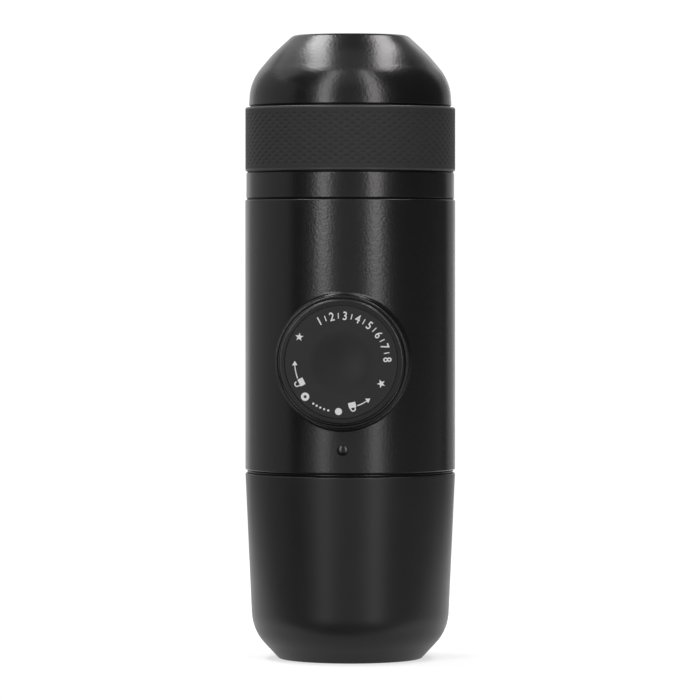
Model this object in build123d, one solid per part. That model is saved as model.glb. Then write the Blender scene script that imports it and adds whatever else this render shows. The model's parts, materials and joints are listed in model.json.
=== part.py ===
from build123d import *
from math import asin, cos, degrees, radians, sin, sqrt, tan
import os

# A handheld manual espresso maker, standing on its water tank as it is carried.
# From the bottom up: water tank, main body with a thumb pump, and an upturned cup that covers the
# scoop, the outlet head and the filter basket.
# Frame: millimetres, +Z up, origin at the centre of the tank's flat foot, piston knob towards -Y.
# A size whose name ends in _REACH is measured along the piston, from the body's axis to the front.

# ---------------------------------------------------------------- driving dimensions
# Heights of the outside, from the foot up
TANK_HEIGHT = 52.4
TANK_SEAM = 0.6
BODY_HEIGHT = 75.9
CUP_SEAM = 0.4
LIP_HEIGHT = 7.3
WAIST_HEIGHT = 18.6
DOME_HEIGHT = 19.8

# Casing of the main body. A size whose name ends in _INSET is taken in from the casing's radius.
BODY_R = 29.5
BODY_WALL = 2.0
EDGE_ROUND = 0.45
BODY_LIP = 0.9
BODY_LIP_HEIGHT = 2.0

# Water tank
FOOT_INSET = 9.4
FOOT_EDGE = 0.8
FLARE_ANGLE = 43.1
TANK_DRAFT = 2.57
TANK_KNUCKLE_R = 13.5
TANK_WALL = 2.0
TANK_FLOOR = 2.2
TANK_LEDGE = 1.2
TANK_LEDGE_HEIGHT = 2.0
LINER_WALL = 1.5
LINER_GAP = 2.3
LINER_DRAFT = 0.8
LINER_ROUND = 7.0
LINER_FLANGE = 2.0
NECK_INSET = 4.9
NECK_WALL = 1.4
NECK_HEIGHT = 7.1

# Quick threads of the tank and of the outlet head
THREAD_LEAD = 12.0
THREAD_STARTS = 4
THREAD_RIB = 1.2
THREAD_DEPTH = 0.9
THREAD_GAP = 0.3
THREAD_ROOT = 0.3
THREAD_START_ANGLE = 10.0
TANK_THREAD_HEIGHT = 4.5
TANK_THREAD_RISE = 1.8
HEAD_THREAD_HEIGHT = 6.0
HEAD_THREAD_RISE = 3.0

# Decks, gaskets and clearances
DECK = 2.2
TANK_GASKET = 1.6
GASKET_MARGIN = 0.3
FIXED_GAP = 0.1
SNUG_GAP = 0.05

# Screws of the chassis
SCREW_CIRCLE_INSET = 11.1
SCREW_COUNT = 4
SCREW_FIRST_ANGLE = 45.0
SCREW_R = 1.25
SCREW_GRIP = 5.6
SCREW_TIP_ROOM = 0.5
SCREW_HEAD_R = 2.3
SCREW_HEAD = 1.2
SCREW_HEAD_ROUND = 0.6
SCREW_DRIVE_R = 1.1
SCREW_DRIVE_DEPTH = 0.7

# Pump housing
FLANGE = 2.8
FLANGE_GAP = 0.3
POST_R = 3.2
SLEEVE_WALL = 1.4
SLEEVE_FLOOR = 2.0
SLEEVE_GAP = 0.2
SLEEVE_FOOT = 1.8
JACKET_WALL = 2.0
COLUMN_WALL = 2.0

# Knob and the boss around it
KNOB_R = 17.4
KNOB_GAP = 0.2
KNOB_PROUD = 1.5
KNOB_EDGE = 0.8
KNOB_SKIRT = 1.5
KNOB_WEB = 2.5
KNOB_FLOOR_GAP = 0.7
HUB_R = 6.5
HUB_LENGTH = 6.8
HUB_SEAT = 1.8
DISC_R = 15.5
DISC_THICKNESS = 1.1
DISC_RECESS = 0.1
DISH_R = 8.3
DISH_DEPTH = 0.5
BOSS_LIP = 0.7
BOSS_HEIGHT = 4.0
BOSS_FILLET = 1.3
BOSS_EDGE = 0.3
INDEX_R = 1.3
INDEX_HEIGHT = 0.85
INDEX_RISE = 6.7

# Piston and barrel
STROKE = 18.0
TWIST = 45.0
BORE_R = 6.05
BARREL_WALL = 1.45
BARREL_STEP = 0.5
BARREL_NOSE = 12.0
BARREL_REAR_INSET = 8.1
PISTON_FACE_GAP = 2.0
PISTON_HEAD = 8.0
PISTON_GAP = 0.1
ROD_R = 3.5
SPIGOT_R = 2.65
SPIGOT_PLAY = 0.2
RING_R = 0.7
RING_PITCH = 3.2
RING_GROOVE_PLAY = 0.1
WASHER_R = 4.8
WASHER = 0.6
KNOB_SCREW_HEAD_R = 2.8
KNOB_SCREW_HEAD = 0.9
KNOB_SCREW_LENGTH = 9.0
BARREL_SEAL = 0.8
BARREL_PLUG = 2.8
PLUG_SLOT_WIDTH = 1.6
PLUG_SLOT_DEPTH = 1.0

# Lock pins, on which the knob turns and slides
PIN_R = 1.5
PIN_GAP = 0.02
PIN_INSET = 5.0
PIN_BITE = 1.2
WINDOW_GAP = 0.3
SKIRT_RIM = 2.0

# Return spring
SPRING_R = 12.0
SPRING_WIRE_R = 0.55
SPRING_TURNS = 7.0
SEAT_GAP = 0.02

# Check valves, one below and one above the barrel's end
VALVE_INSET = 11.5
PORT_R = 1.5
CARTRIDGE_R = 4.5
CAGE_R = 3.4
CAGE_LENGTH = 7.1
VALVE_SEAT_R = 2.0
VALVE_SEAT_LENGTH = 4.4
BALL_R = 2.6
VALVE_SPRING_R = 1.7
VALVE_WIRE_R = 0.18
VALVE_SPRING_TURNS = 3.5
STRAINER_R = 4.0
STRAINER_WALL = 0.6
STRAINER_DEPTH = 2.4
STRAINER_HOLE_R = 0.4
STRAINER_PITCH = 1.3
STRAINER_RINGS = 2

# Air vent of the tank
VENT_INSET = 9.2
VENT_TUBE_R = 1.6
VENT_BORE_R = 0.9
VENT_TUBE_FOOT = 6.0
VENT_SINK = 1.2
VENT_FLAP_R = 2.6
VENT_FLAP = 0.8
VENT_POCKET_GAP = 0.6

# Socket of the outlet head
HEAD_BORE_INSET = 4.8
SPIGOT_HEIGHT = 5.7
SPIGOT_WALL = 1.6
LAND_HEIGHT = 2.7
SCREEN_INSET = 7.9
SCREEN = 0.6
SCREEN_SEAT = 1.0
SCREEN_HOLE_R = 0.7
SCREEN_PITCH = 3.2
SCREEN_RINGS = 5
CUP_SEAL_DEPTH = 0.4
CUP_SEAL_HEIGHT = 3.0
CUP_SEAL_RISE = 1.5
CUP_SEAL_EDGE = 0.25

# Filter basket
BASKET_GASKET = 1.5
BASKET_INSET = 8.1
BASKET_WALL = 0.7
BASKET_RIM = 2.1
BASKET_FLANGE = 0.8
BASKET_TOP_DROP = 5.4
BASKET_ROUND = 1.6
BASKET_HOLE_R = 0.5
BASKET_PITCH = 2.4
BASKET_RINGS = 7

# Outlet head
HEAD_NECK_INSET = 6.0
HEAD_NECK_WALL = 1.0
HEAD_GASKET = 1.0
GRIP_INSET = 3.6
GRIP_WALL = 3.9
GRIP_HEIGHT = 3.4
GRIP_FLUTES = 24
FLUTE_R = 1.0
FLUTE_DEPTH = 0.5
SHELF_DROP = 2.6
ROOF_GAP = 1.2
ROOF_RISE = 4.0
OUTLET_R = 2.2
NOZZLE_BASE_R = 9.0
NOZZLE_R = 5.2
NOZZLE_HEIGHT = 11.6
NOZZLE_EDGE = 0.8
TIP_R = 3.5
TIP_BORE_R = 1.2
TIP_SINK = 5.0
TIP_LENGTH = 8.0
TIP_END_R = 2.2

# Scoop
SCOOP_INSET = 9.1
SCOOP_WALL = 1.2
SCOOP_HEIGHT = 21.0
SCOOP_FLOOR = 1.4
SCOOP_ROUND = 3.0
TAB_WIDTH = 12.0
TAB_THICKNESS = 2.2
TAB_INSET = 3.9
TAB_GAP = 0.5
TAB_ROOT = 0.6

# Cup
LIP_INSET = 0.3
LIP_WALL = 2.35
WAIST_INSET = 1.6
CUP_WALL = 1.6
DOME_INSET = 1.05
DOME_DRAFT = 3.5
DOME_CONE_ANGLE = 42.5
DOME_SLOPE = 11.45
DOME_SHOULDER_R = 12.0
DOME_CROWN_R = 7.5
DOME_WALL = 2.1
BAND_INSET = 0.03
BAND_GAP = 0.2
BAND_EDGE = 0.5

# ---------------------------------------------------------------- sizes that follow
BODY_BOTTOM = TANK_HEIGHT + TANK_SEAM
BODY_TOP = BODY_BOTTOM + BODY_HEIGHT
CUP_MOUTH = BODY_TOP + CUP_SEAM
LIP_TOP = CUP_MOUTH + LIP_HEIGHT
DOME_BOTTOM = LIP_TOP + WAIST_HEIGHT
TOTAL_HEIGHT = DOME_BOTTOM + DOME_HEIGHT
BODY_INNER_R = BODY_R - BODY_WALL
FOOT_R = BODY_R - FOOT_INSET
NECK_R = BODY_R - NECK_INSET
NECK_INNER_R = NECK_R - NECK_WALL
SCREW_CIRCLE_R = BODY_R - SCREW_CIRCLE_INSET
VALVE_Y = BODY_R - VALVE_INSET
VENT_X = VENT_INSET - BODY_R
SOCKET_R = BODY_INNER_R - FIXED_GAP
LINER_BOTTOM = TANK_FLOOR + LINER_GAP
NECK_TOP = TANK_HEIGHT + NECK_HEIGHT
THREAD_PHASE = 0.5 * 360.0 / THREAD_STARTS
TANK_THREAD_Z = TANK_HEIGHT + TANK_THREAD_RISE
TANK_BORE_R = NECK_R + THREAD_DEPTH + THREAD_GAP
DECK_BOTTOM = NECK_TOP + TANK_GASKET
DECK_TOP = DECK_BOTTOM + DECK
GUIDE_R = KNOB_R + KNOB_GAP
SLEEVE_R = GUIDE_R + SLEEVE_WALL
PISTON_Z = DECK_TOP + SLEEVE_FOOT + SLEEVE_R
CHASSIS_TOP = PISTON_Z + SLEEVE_R + DECK
UPPER_DECK_TOP = CHASSIS_TOP + DECK
LAND_TOP = UPPER_DECK_TOP + LAND_HEIGHT
HEAD_BORE_R = BODY_R - HEAD_BORE_INSET
SPIGOT_TOP = BODY_TOP + SPIGOT_HEIGHT
SPIGOT_OUTER_R = HEAD_BORE_R + SPIGOT_WALL
SCREEN_R = BODY_R - SCREEN_INSET
CUP_SEAL_Z = BODY_TOP + CUP_SEAL_RISE
BASKET_MOUTH = LAND_TOP + BASKET_GASKET
BASKET_TOP = SPIGOT_TOP - BASKET_TOP_DROP
BASKET_INNER_R = BODY_R - BASKET_INSET
BASKET_R = BASKET_INNER_R + BASKET_WALL
BASKET_FLANGE_R = BASKET_INNER_R + BASKET_RIM
HEAD_NECK_R = BODY_R - HEAD_NECK_INSET
HEAD_NECK_BOTTOM = BASKET_MOUTH + BASKET_FLANGE
HEAD_THREAD_Z = HEAD_NECK_BOTTOM + HEAD_THREAD_RISE
GRIP_R = BODY_R - GRIP_INSET
GRIP_BOTTOM = SPIGOT_TOP + HEAD_GASKET
GRIP_TOP = GRIP_BOTTOM + GRIP_HEIGHT
SHELF_Z = GRIP_TOP - SHELF_DROP
NOZZLE_TOP = SHELF_Z + NOZZLE_HEIGHT
SCOOP_R = BODY_R - SCOOP_INSET
SCOOP_TOP = SHELF_Z + SCOOP_HEIGHT
TAB_REACH = BODY_R - TAB_INSET
LIP_R = BODY_R - LIP_INSET
CUP_INNER_R = LIP_R - LIP_WALL
CUP_WAIST_R = BODY_R - WAIST_INSET
DOME_R = BODY_R - DOME_INSET
DOME_TOP_R = DOME_R - DOME_SLOPE
BAND_R = BODY_R - BAND_INSET
BOSS_REACH = BODY_R + BOSS_HEIGHT
KNOB_REACH = BOSS_REACH + KNOB_PROUD
PIN_REACH = BODY_R - PIN_INSET
WEB_FRONT_REACH = KNOB_REACH - DISC_THICKNESS - DISC_RECESS
WEB_REAR_REACH = WEB_FRONT_REACH - KNOB_WEB
HUB_REAR_REACH = WEB_FRONT_REACH - HUB_LENGTH
HUB_SEAT_REACH = WEB_FRONT_REACH - HUB_SEAT
SPIGOT_REACH = HUB_SEAT_REACH + SPIGOT_PLAY
WINDOW_REAR_REACH = PIN_REACH - STROKE - PIN_R - WINDOW_GAP
WINDOW_FRONT_REACH = PIN_REACH + PIN_R + WINDOW_GAP
SKIRT_REACH = WINDOW_REAR_REACH - SKIRT_RIM
FLOOR_REACH = SKIRT_REACH - KNOB_FLOOR_GAP
BARREL_STEP_REACH = FLOOR_REACH - SLEEVE_FLOOR
BARREL_FRONT_REACH = FLOOR_REACH + BARREL_NOSE
BARREL_REAR_REACH = BARREL_REAR_INSET - BODY_R
PISTON_FACE_REACH = PORT_R + PISTON_FACE_GAP - VALVE_Y
BARREL_R = BORE_R + BARREL_WALL
JACKET_R = BARREL_R + SNUG_GAP + JACKET_WALL
PLUG_FRONT_REACH = BARREL_REAR_REACH - BARREL_SEAL
PLUG_REAR_REACH = PLUG_FRONT_REACH - BARREL_PLUG
CARTRIDGE_LENGTH = VALVE_SEAT_LENGTH + CAGE_LENGTH
INLET_BOTTOM = DECK_TOP
OUTLET_BOTTOM = CHASSIS_TOP - CARTRIDGE_LENGTH

# The piston's axis: local +Z points out of the knob, and local +Y points up.
PISTON_AXIS = Location((0, 0, PISTON_Z), (90, 0, 0))
VALVE_AXIS = Location((0, VALVE_Y, 0))
VENT_AXIS = Location((VENT_X, 0, 0))


# ---------------------------------------------------------------- helpers
def turned(points, rounds=()):
    """A solid of revolution about Z from (radius, height) corners. rounds lists (corner, radius)."""
    face = make_face(Polyline(*points, close=True))
    for corner, radius in rounds:
        face = fillet(face.vertices().sort_by_distance((*corner, 0))[0], radius)
    return revolve(Plane.XZ * face, Axis.Z)


def tube(inner_r, outer_r, low, high):
    """A plain ring about Z."""
    return turned([(inner_r, low), (outer_r, low), (outer_r, high), (inner_r, high)])


def rod(radius, low, high):
    """A plain round bar about Z."""
    bar = Cylinder(radius, high - low, align=(Align.CENTER, Align.CENTER, Align.MIN))
    return bar.moved(Location((0, 0, low)))


def on_circle(shape, radius, count, first_angle=0.0):
    """Copies of a shape, spaced evenly on a circle about Z."""
    angles = [radians(first_angle + k * 360.0 / count) for k in range(count)]
    return [shape.moved(Location((radius * cos(a), radius * sin(a), 0))) for a in angles]


def at_screws(shape):
    """A copy of a shape at each chassis screw."""
    return on_circle(shape, SCREW_CIRCLE_R, SCREW_COUNT, SCREW_FIRST_ANGLE)


def sieve(hole, pitch, rings):
    """A centre hole and rings around it, each with six holes more than the last."""
    holes = [hole]
    for ring in range(1, rings + 1):
        holes += on_circle(hole, ring * pitch, 6 * ring)
    return holes


def sector(inner_r, outer_r, start, width):
    """A flat ring sector from a start angle, width degrees wide."""
    inner = CenterArc((0, 0), inner_r, start, width)
    outer = CenterArc((0, 0), outer_r, start, width)
    return make_face([inner, Line(inner @ 1, outer @ 1), outer, Line(outer @ 0, inner @ 0)])


def thread_ribs(inner_r, outer_r, low, height, start):
    """Helical ribs of a right-handed thread: ring sectors that turn as they rise."""
    width = 360.0 * THREAD_RIB / THREAD_LEAD
    turn = 360.0 * height / THREAD_LEAD
    ribs = []
    for k in range(THREAD_STARTS):
        flat = sector(inner_r, outer_r, start + k * 360.0 / THREAD_STARTS, width)
        section = (Plane.XY.offset(low) * flat).faces()[0]
        rise = (0, 0, height)
        ribs.append(Solid.extrude_linear_with_rotation(section, (0, 0, low), rise, turn))
    return ribs


def coil(mean_r, wire_r, low, high, turns):
    """A round-wire spring about Z that fills the space from low to high."""
    rise = high - low - 2 * wire_r
    path = Helix(rise / turns, rise, mean_r, center=(0, 0, low + wire_r))
    return sweep(Plane(origin=path @ 0, z_dir=path % 0) * Circle(wire_r), path=path)


# ---------------------------------------------------------------- water tank
def tank_corners(inset):
    """Foot, knuckle and top corners of the tank's outline, taken in by an inset."""
    draft, flare = tan(radians(TANK_DRAFT)), tan(radians(FLARE_ANGLE))
    foot_r = FOOT_R - inset / cos(radians(FLARE_ANGLE))
    top_r = BODY_R - inset / cos(radians(TANK_DRAFT))
    knuckle_z = (top_r - TANK_HEIGHT * draft - foot_r) / (flare - draft)
    return (foot_r, 0), (foot_r + knuckle_z * flare, knuckle_z), (top_r, TANK_HEIGHT)


def tank_shell():
    """Outer shell: a flared foot, a large knuckle and a tapered wall, with a ledge inside."""
    foot, knuckle, top = tank_corners(0)
    rounds = [(knuckle, TANK_KNUCKLE_R), (foot, FOOT_EDGE), (top, EDGE_ROUND)]
    body = turned([(0, 0), foot, knuckle, top, (0, TANK_HEIGHT)], rounds)
    foot_in, knuckle_in, top_in = tank_corners(TANK_WALL)
    floor_r = foot_in[0] + TANK_FLOOR * tan(radians(FLARE_ANGLE))
    ledge_top = TANK_HEIGHT - LINER_FLANGE
    ledge_bottom = ledge_top - TANK_LEDGE_HEIGHT
    wall_r = top_in[0] - (TANK_HEIGHT - ledge_bottom) * tan(radians(TANK_DRAFT))
    hollow = [(0, TANK_FLOOR), (floor_r, TANK_FLOOR), knuckle_in]
    hollow += [(wall_r, ledge_bottom), (wall_r - TANK_LEDGE, ledge_bottom)]
    hollow += [(wall_r - TANK_LEDGE, ledge_top), (top_in[0], ledge_top), top_in, (0, TANK_HEIGHT)]
    return body - turned(hollow, [(knuckle_in, TANK_KNUCKLE_R - TANK_WALL)])


def tank_liner():
    """Inner vessel, hung by its flange in the shell, with the male thread on its neck."""
    draft = tan(radians(LINER_DRAFT))
    inner_bottom = LINER_BOTTOM + LINER_WALL
    inner_foot = (NECK_INNER_R - (NECK_TOP - inner_bottom) * draft, inner_bottom)
    outer_foot = (inner_foot[0] + LINER_WALL, LINER_BOTTOM)
    flange_z = TANK_HEIGHT - LINER_FLANGE
    flange_r = tank_corners(TANK_WALL)[2][0] - FIXED_GAP
    side_r = NECK_INNER_R + LINER_WALL - (NECK_TOP - flange_z) * draft
    points = [(0, LINER_BOTTOM), outer_foot, (side_r, flange_z), (flange_r, flange_z)]
    points += [(flange_r, TANK_HEIGHT), (NECK_R, TANK_HEIGHT), (NECK_R, NECK_TOP)]
    points += [(NECK_INNER_R, NECK_TOP), inner_foot, (0, inner_bottom)]
    body = turned(points, [(outer_foot, LINER_ROUND), (inner_foot, LINER_ROUND - LINER_WALL)])
    crest_r = NECK_R + THREAD_DEPTH
    return body + thread_ribs(
        NECK_R - THREAD_ROOT, crest_r, TANK_THREAD_Z, TANK_THREAD_HEIGHT, THREAD_START_ANGLE
    )


def tank_gasket():
    """Silicone ring between the tank's neck and the deck above it."""
    return tube(NECK_INNER_R - GASKET_MARGIN, TANK_BORE_R - GASKET_MARGIN, NECK_TOP, DECK_BOTTOM)


# ---------------------------------------------------------------- main body: casing and sockets
def body_shell():
    """Round casing with the raised boss that the knob slides in, and the lock's index bump."""
    low, high = (BODY_R, BODY_BOTTOM), (BODY_R, BODY_TOP)
    lip_r, lip_z = BODY_INNER_R - BODY_LIP, BODY_TOP - BODY_LIP_HEIGHT
    points = [(BODY_INNER_R, BODY_BOTTOM), low, high, (lip_r, BODY_TOP), (lip_r, lip_z)]
    wall = turned(points + [(BODY_INNER_R, lip_z)], [(low, EDGE_ROUND), (high, EDGE_ROUND)])
    boss_r = GUIDE_R + BOSS_LIP
    boss = PISTON_AXIS * rod(boss_r, 0, BOSS_REACH)
    shell = wall + (boss - rod(BODY_R - 0.5 * BODY_WALL, BODY_BOTTOM, BODY_TOP))
    shell = fillet([e for e in shell.edges() if is_boss_foot(e @ 0.3, boss_r)], BOSS_FILLET)
    front = shell.edges().filter_by(GeomType.CIRCLE).group_by(Axis.Y)[0]
    shell = fillet(front, BOSS_EDGE) - PISTON_AXIS * rod(GUIDE_R, 0, BOSS_REACH)
    bump_centre = (0, INDEX_R - INDEX_HEIGHT - BODY_R, BODY_BOTTOM + INDEX_RISE)
    return shell + Sphere(INDEX_R).moved(Location(bump_centre))


def is_boss_foot(point, boss_r):
    """True for a point where the boss's side meets the casing's outside."""
    from_piston = sqrt(point.X**2 + (point.Z - PISTON_Z) ** 2)
    from_axis = sqrt(point.X**2 + point.Y**2)
    return abs(from_piston - boss_r) < 0.01 and abs(from_axis - BODY_R) < 0.01


def tank_socket():
    """Threaded ring and deck at the body's foot, which the tank screws into."""
    low = BODY_BOTTOM + EDGE_ROUND
    points = [(TANK_BORE_R, low), (SOCKET_R, low), (SOCKET_R, DECK_TOP), (0, DECK_TOP)]
    ring = turned(points + [(0, DECK_BOTTOM), (TANK_BORE_R, DECK_BOTTOM)])
    start = THREAD_START_ANGLE + THREAD_PHASE
    ribs = thread_ribs(
        NECK_R + THREAD_GAP, TANK_BORE_R + THREAD_ROOT, TANK_THREAD_Z, TANK_THREAD_HEIGHT, start
    )
    screws = at_screws(rod(SCREW_R + FIXED_GAP, DECK_BOTTOM, DECK_TOP))
    inlet = VALVE_AXIS * rod(VALVE_SEAT_R, DECK_BOTTOM, DECK_TOP)
    vent = VENT_AXIS * rod(VENT_BORE_R, DECK_BOTTOM, DECK_TOP)
    tube_seat = VENT_AXIS * rod(VENT_TUBE_R + SNUG_GAP, DECK_BOTTOM, DECK_BOTTOM + VENT_SINK)
    return ring + ribs - screws - inlet - vent - tube_seat


def head_socket():
    """Threaded ring, deck and spigot at the body's top, for the outlet head and the cup."""
    lip_z = BODY_TOP - BODY_LIP_HEIGHT
    groove_r, groove_top = SPIGOT_OUTER_R - CUP_SEAL_DEPTH, CUP_SEAL_Z + CUP_SEAL_HEIGHT
    seat_r, seat_z = SCREEN_R + FIXED_GAP, LAND_TOP - SCREEN
    points = [(0, CHASSIS_TOP), (SOCKET_R, CHASSIS_TOP), (SOCKET_R, lip_z)]
    points += [(SPIGOT_OUTER_R, lip_z), (SPIGOT_OUTER_R, CUP_SEAL_Z), (groove_r, CUP_SEAL_Z)]
    points += [(groove_r, groove_top), (SPIGOT_OUTER_R, groove_top), (SPIGOT_OUTER_R, SPIGOT_TOP)]
    points += [(HEAD_BORE_R, SPIGOT_TOP), (HEAD_BORE_R, LAND_TOP), (seat_r, LAND_TOP)]
    points += [(seat_r, seat_z), (seat_r - SCREEN_SEAT, seat_z)]
    points += [(seat_r - SCREEN_SEAT, UPPER_DECK_TOP), (0, UPPER_DECK_TOP)]
    start = THREAD_START_ANGLE + THREAD_PHASE
    ribs = thread_ribs(
        HEAD_NECK_R + THREAD_GAP, HEAD_BORE_R + THREAD_ROOT, HEAD_THREAD_Z, HEAD_THREAD_HEIGHT, start
    )
    screws = at_screws(rod(SCREW_R + FIXED_GAP, CHASSIS_TOP, UPPER_DECK_TOP))
    return turned(points) + ribs - screws - VALVE_AXIS * rod(PORT_R, CHASSIS_TOP, UPPER_DECK_TOP)


def cup_seal():
    """Flat silicone ring in the spigot's groove, which grips the cup."""
    inner_r = SPIGOT_OUTER_R - CUP_SEAL_DEPTH + SNUG_GAP
    low = (CUP_INNER_R - FIXED_GAP, CUP_SEAL_Z + SNUG_GAP)
    high = (low[0], CUP_SEAL_Z + CUP_SEAL_HEIGHT - SNUG_GAP)
    points = [(inner_r, low[1]), low, high, (inner_r, high[1])]
    return turned(points, [(low, CUP_SEAL_EDGE), (high, CUP_SEAL_EDGE)])


def chassis_screw():
    """Pan-head screw whose head lies below height 0 and whose shank points up."""
    rim = (SCREW_HEAD_R, -SCREW_HEAD)
    head = turned([(0, -SCREW_HEAD), rim, (SCREW_HEAD_R, 0), (0, 0)], [(rim, SCREW_HEAD_ROUND)])
    drive = extrude(RegularPolygon(SCREW_DRIVE_R, 6), SCREW_DRIVE_DEPTH)
    return head - Location((0, 0, -SCREW_HEAD)) * drive + rod(SCREW_R, 0, DECK + SCREW_GRIP)


def lower_screws():
    """Screws from the tank socket up into the chassis."""
    return Compound(at_screws(Location((0, 0, DECK_BOTTOM)) * chassis_screw()))


def upper_screws():
    """Screws from the head socket down into the chassis."""
    return Compound(at_screws(Location((0, 0, UPPER_DECK_TOP), (180, 0, 0)) * chassis_screw()))


# ---------------------------------------------------------------- main body: pump
def pump_housing():
    """Chassis between the decks: knob sleeve, barrel jacket, valve columns, posts and flanges."""
    flange_r = BODY_INNER_R - FLANGE_GAP
    body = rod(flange_r, DECK_TOP, DECK_TOP + FLANGE)
    body += rod(flange_r, CHASSIS_TOP - FLANGE, CHASSIS_TOP)
    body += PISTON_AXIS * rod(SLEEVE_R, BARREL_STEP_REACH, BODY_R)
    body += PISTON_AXIS * rod(JACKET_R, PLUG_REAR_REACH, FLOOR_REACH)
    column_r = CARTRIDGE_R + SNUG_GAP + COLUMN_WALL
    body += VALVE_AXIS * rod(column_r, DECK_TOP, CHASSIS_TOP)
    body += at_screws(rod(POST_R, DECK_TOP, CHASSIS_TOP))
    body &= rod(BODY_INNER_R - SLEEVE_GAP, DECK_TOP, CHASSIS_TOP)
    body -= PISTON_AXIS * rod(GUIDE_R, FLOOR_REACH, BODY_R)
    body -= PISTON_AXIS * rod(BARREL_R - BARREL_STEP + SNUG_GAP, BARREL_STEP_REACH, FLOOR_REACH)
    body -= PISTON_AXIS * rod(BARREL_R + SNUG_GAP, -BODY_R, BARREL_STEP_REACH)
    screw_depth = SCREW_GRIP + SCREW_TIP_ROOM
    body -= at_screws(rod(SCREW_R + SNUG_GAP, DECK_TOP, DECK_TOP + screw_depth))
    body -= at_screws(rod(SCREW_R + SNUG_GAP, CHASSIS_TOP - screw_depth, CHASSIS_TOP))
    body -= Location((0, -PIN_REACH, 0)) * rod(PIN_R + PIN_GAP, DECK_TOP, CHASSIS_TOP)
    body -= VENT_AXIS * rod(VENT_FLAP_R + VENT_POCKET_GAP, DECK_TOP, DECK_TOP + FLANGE)
    bore_r = CARTRIDGE_R + SNUG_GAP
    body -= VALVE_AXIS * rod(bore_r, INLET_BOTTOM, INLET_BOTTOM + CARTRIDGE_LENGTH)
    body -= VALVE_AXIS * rod(bore_r, OUTLET_BOTTOM, CHASSIS_TOP)
    return body - VALVE_AXIS * rod(PORT_R, DECK_TOP, CHASSIS_TOP)


def pump_barrel():
    """Bore of the pump, held by a step against the sleeve's floor, with a port top and bottom."""
    front_r = BARREL_R - BARREL_STEP
    points = [(BORE_R, BARREL_REAR_REACH), (BARREL_R, BARREL_REAR_REACH)]
    points += [(BARREL_R, BARREL_STEP_REACH), (front_r, BARREL_STEP_REACH)]
    points += [(front_r, BARREL_FRONT_REACH), (BORE_R, BARREL_FRONT_REACH)]
    ports = VALVE_AXIS * rod(PORT_R, PISTON_Z - BARREL_R, PISTON_Z + BARREL_R)
    return PISTON_AXIS * turned(points) - ports


def barrel_seal():
    """Silicone disc that closes the barrel's rear end."""
    return PISTON_AXIS * rod(BARREL_R, PLUG_FRONT_REACH, BARREL_REAR_REACH)


def barrel_plug():
    """Plug that presses the seal on the barrel, with a slot for a tool."""
    slot = Box(2 * BARREL_R, PLUG_SLOT_WIDTH, 2 * PLUG_SLOT_DEPTH)
    plug = rod(BARREL_R, PLUG_REAR_REACH, PLUG_FRONT_REACH)
    return PISTON_AXIS * (plug - Location((0, 0, PLUG_REAR_REACH)) * slot)


def lock_pins():
    """Two upright steel pins, pressed in the sleeve, that reach into the knob's windows."""
    inner = GUIDE_R - PIN_BITE
    pins = [rod(PIN_R, DECK_TOP, PISTON_Z - inner), rod(PIN_R, PISTON_Z + inner, CHASSIS_TOP)]
    return Compound([Location((0, -PIN_REACH, 0)) * pin for pin in pins])


# ---------------------------------------------------------------- piston and knob
def ring_reaches():
    """Places of the two O-rings on the piston's head."""
    middle = PISTON_FACE_REACH + 0.5 * PISTON_HEAD
    return middle - 0.5 * RING_PITCH, middle + 0.5 * RING_PITCH


def piston():
    """Piston head with two ring grooves, rod, and the spigot that the knob turns on."""
    head_r = BORE_R - PISTON_GAP
    groove_r = BORE_R - 2 * RING_R - 2 * SNUG_GAP
    half = RING_R + RING_GROOVE_PLAY
    points = [(0, PISTON_FACE_REACH), (head_r, PISTON_FACE_REACH)]
    for reach in ring_reaches():
        points += [(head_r, reach - half), (groove_r, reach - half)]
        points += [(groove_r, reach + half), (head_r, reach + half)]
    head_rear = PISTON_FACE_REACH + PISTON_HEAD
    points += [(head_r, head_rear), (ROD_R, head_rear), (ROD_R, HUB_REAR_REACH)]
    points += [(SPIGOT_R, HUB_REAR_REACH), (SPIGOT_R, SPIGOT_REACH), (0, SPIGOT_REACH)]
    hole_end = SPIGOT_REACH - KNOB_SCREW_LENGTH - SCREW_TIP_ROOM
    return PISTON_AXIS * (turned(points) - rod(SCREW_R + SNUG_GAP, hole_end, SPIGOT_REACH))


def piston_rings():
    """Two O-rings on the piston's head."""
    ring = Torus(BORE_R - SNUG_GAP - RING_R, RING_R)
    return Compound([PISTON_AXIS * Location((0, 0, reach)) * ring for reach in ring_reaches()])


def knob_washer():
    """Washer that holds the knob on the spigot."""
    return PISTON_AXIS * tube(SCREW_R + FIXED_GAP, WASHER_R, SPIGOT_REACH, SPIGOT_REACH + WASHER)


def knob_screw():
    """Screw through the washer into the spigot."""
    face = SPIGOT_REACH + WASHER
    body = rod(SCREW_R, SPIGOT_REACH - KNOB_SCREW_LENGTH, face)
    body += rod(KNOB_SCREW_HEAD_R, face, face + KNOB_SCREW_HEAD)
    drive = extrude(RegularPolygon(SCREW_DRIVE_R, 6), -SCREW_DRIVE_DEPTH)
    return PISTON_AXIS * (body - Location((0, 0, face + KNOB_SCREW_HEAD)) * drive)


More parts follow.
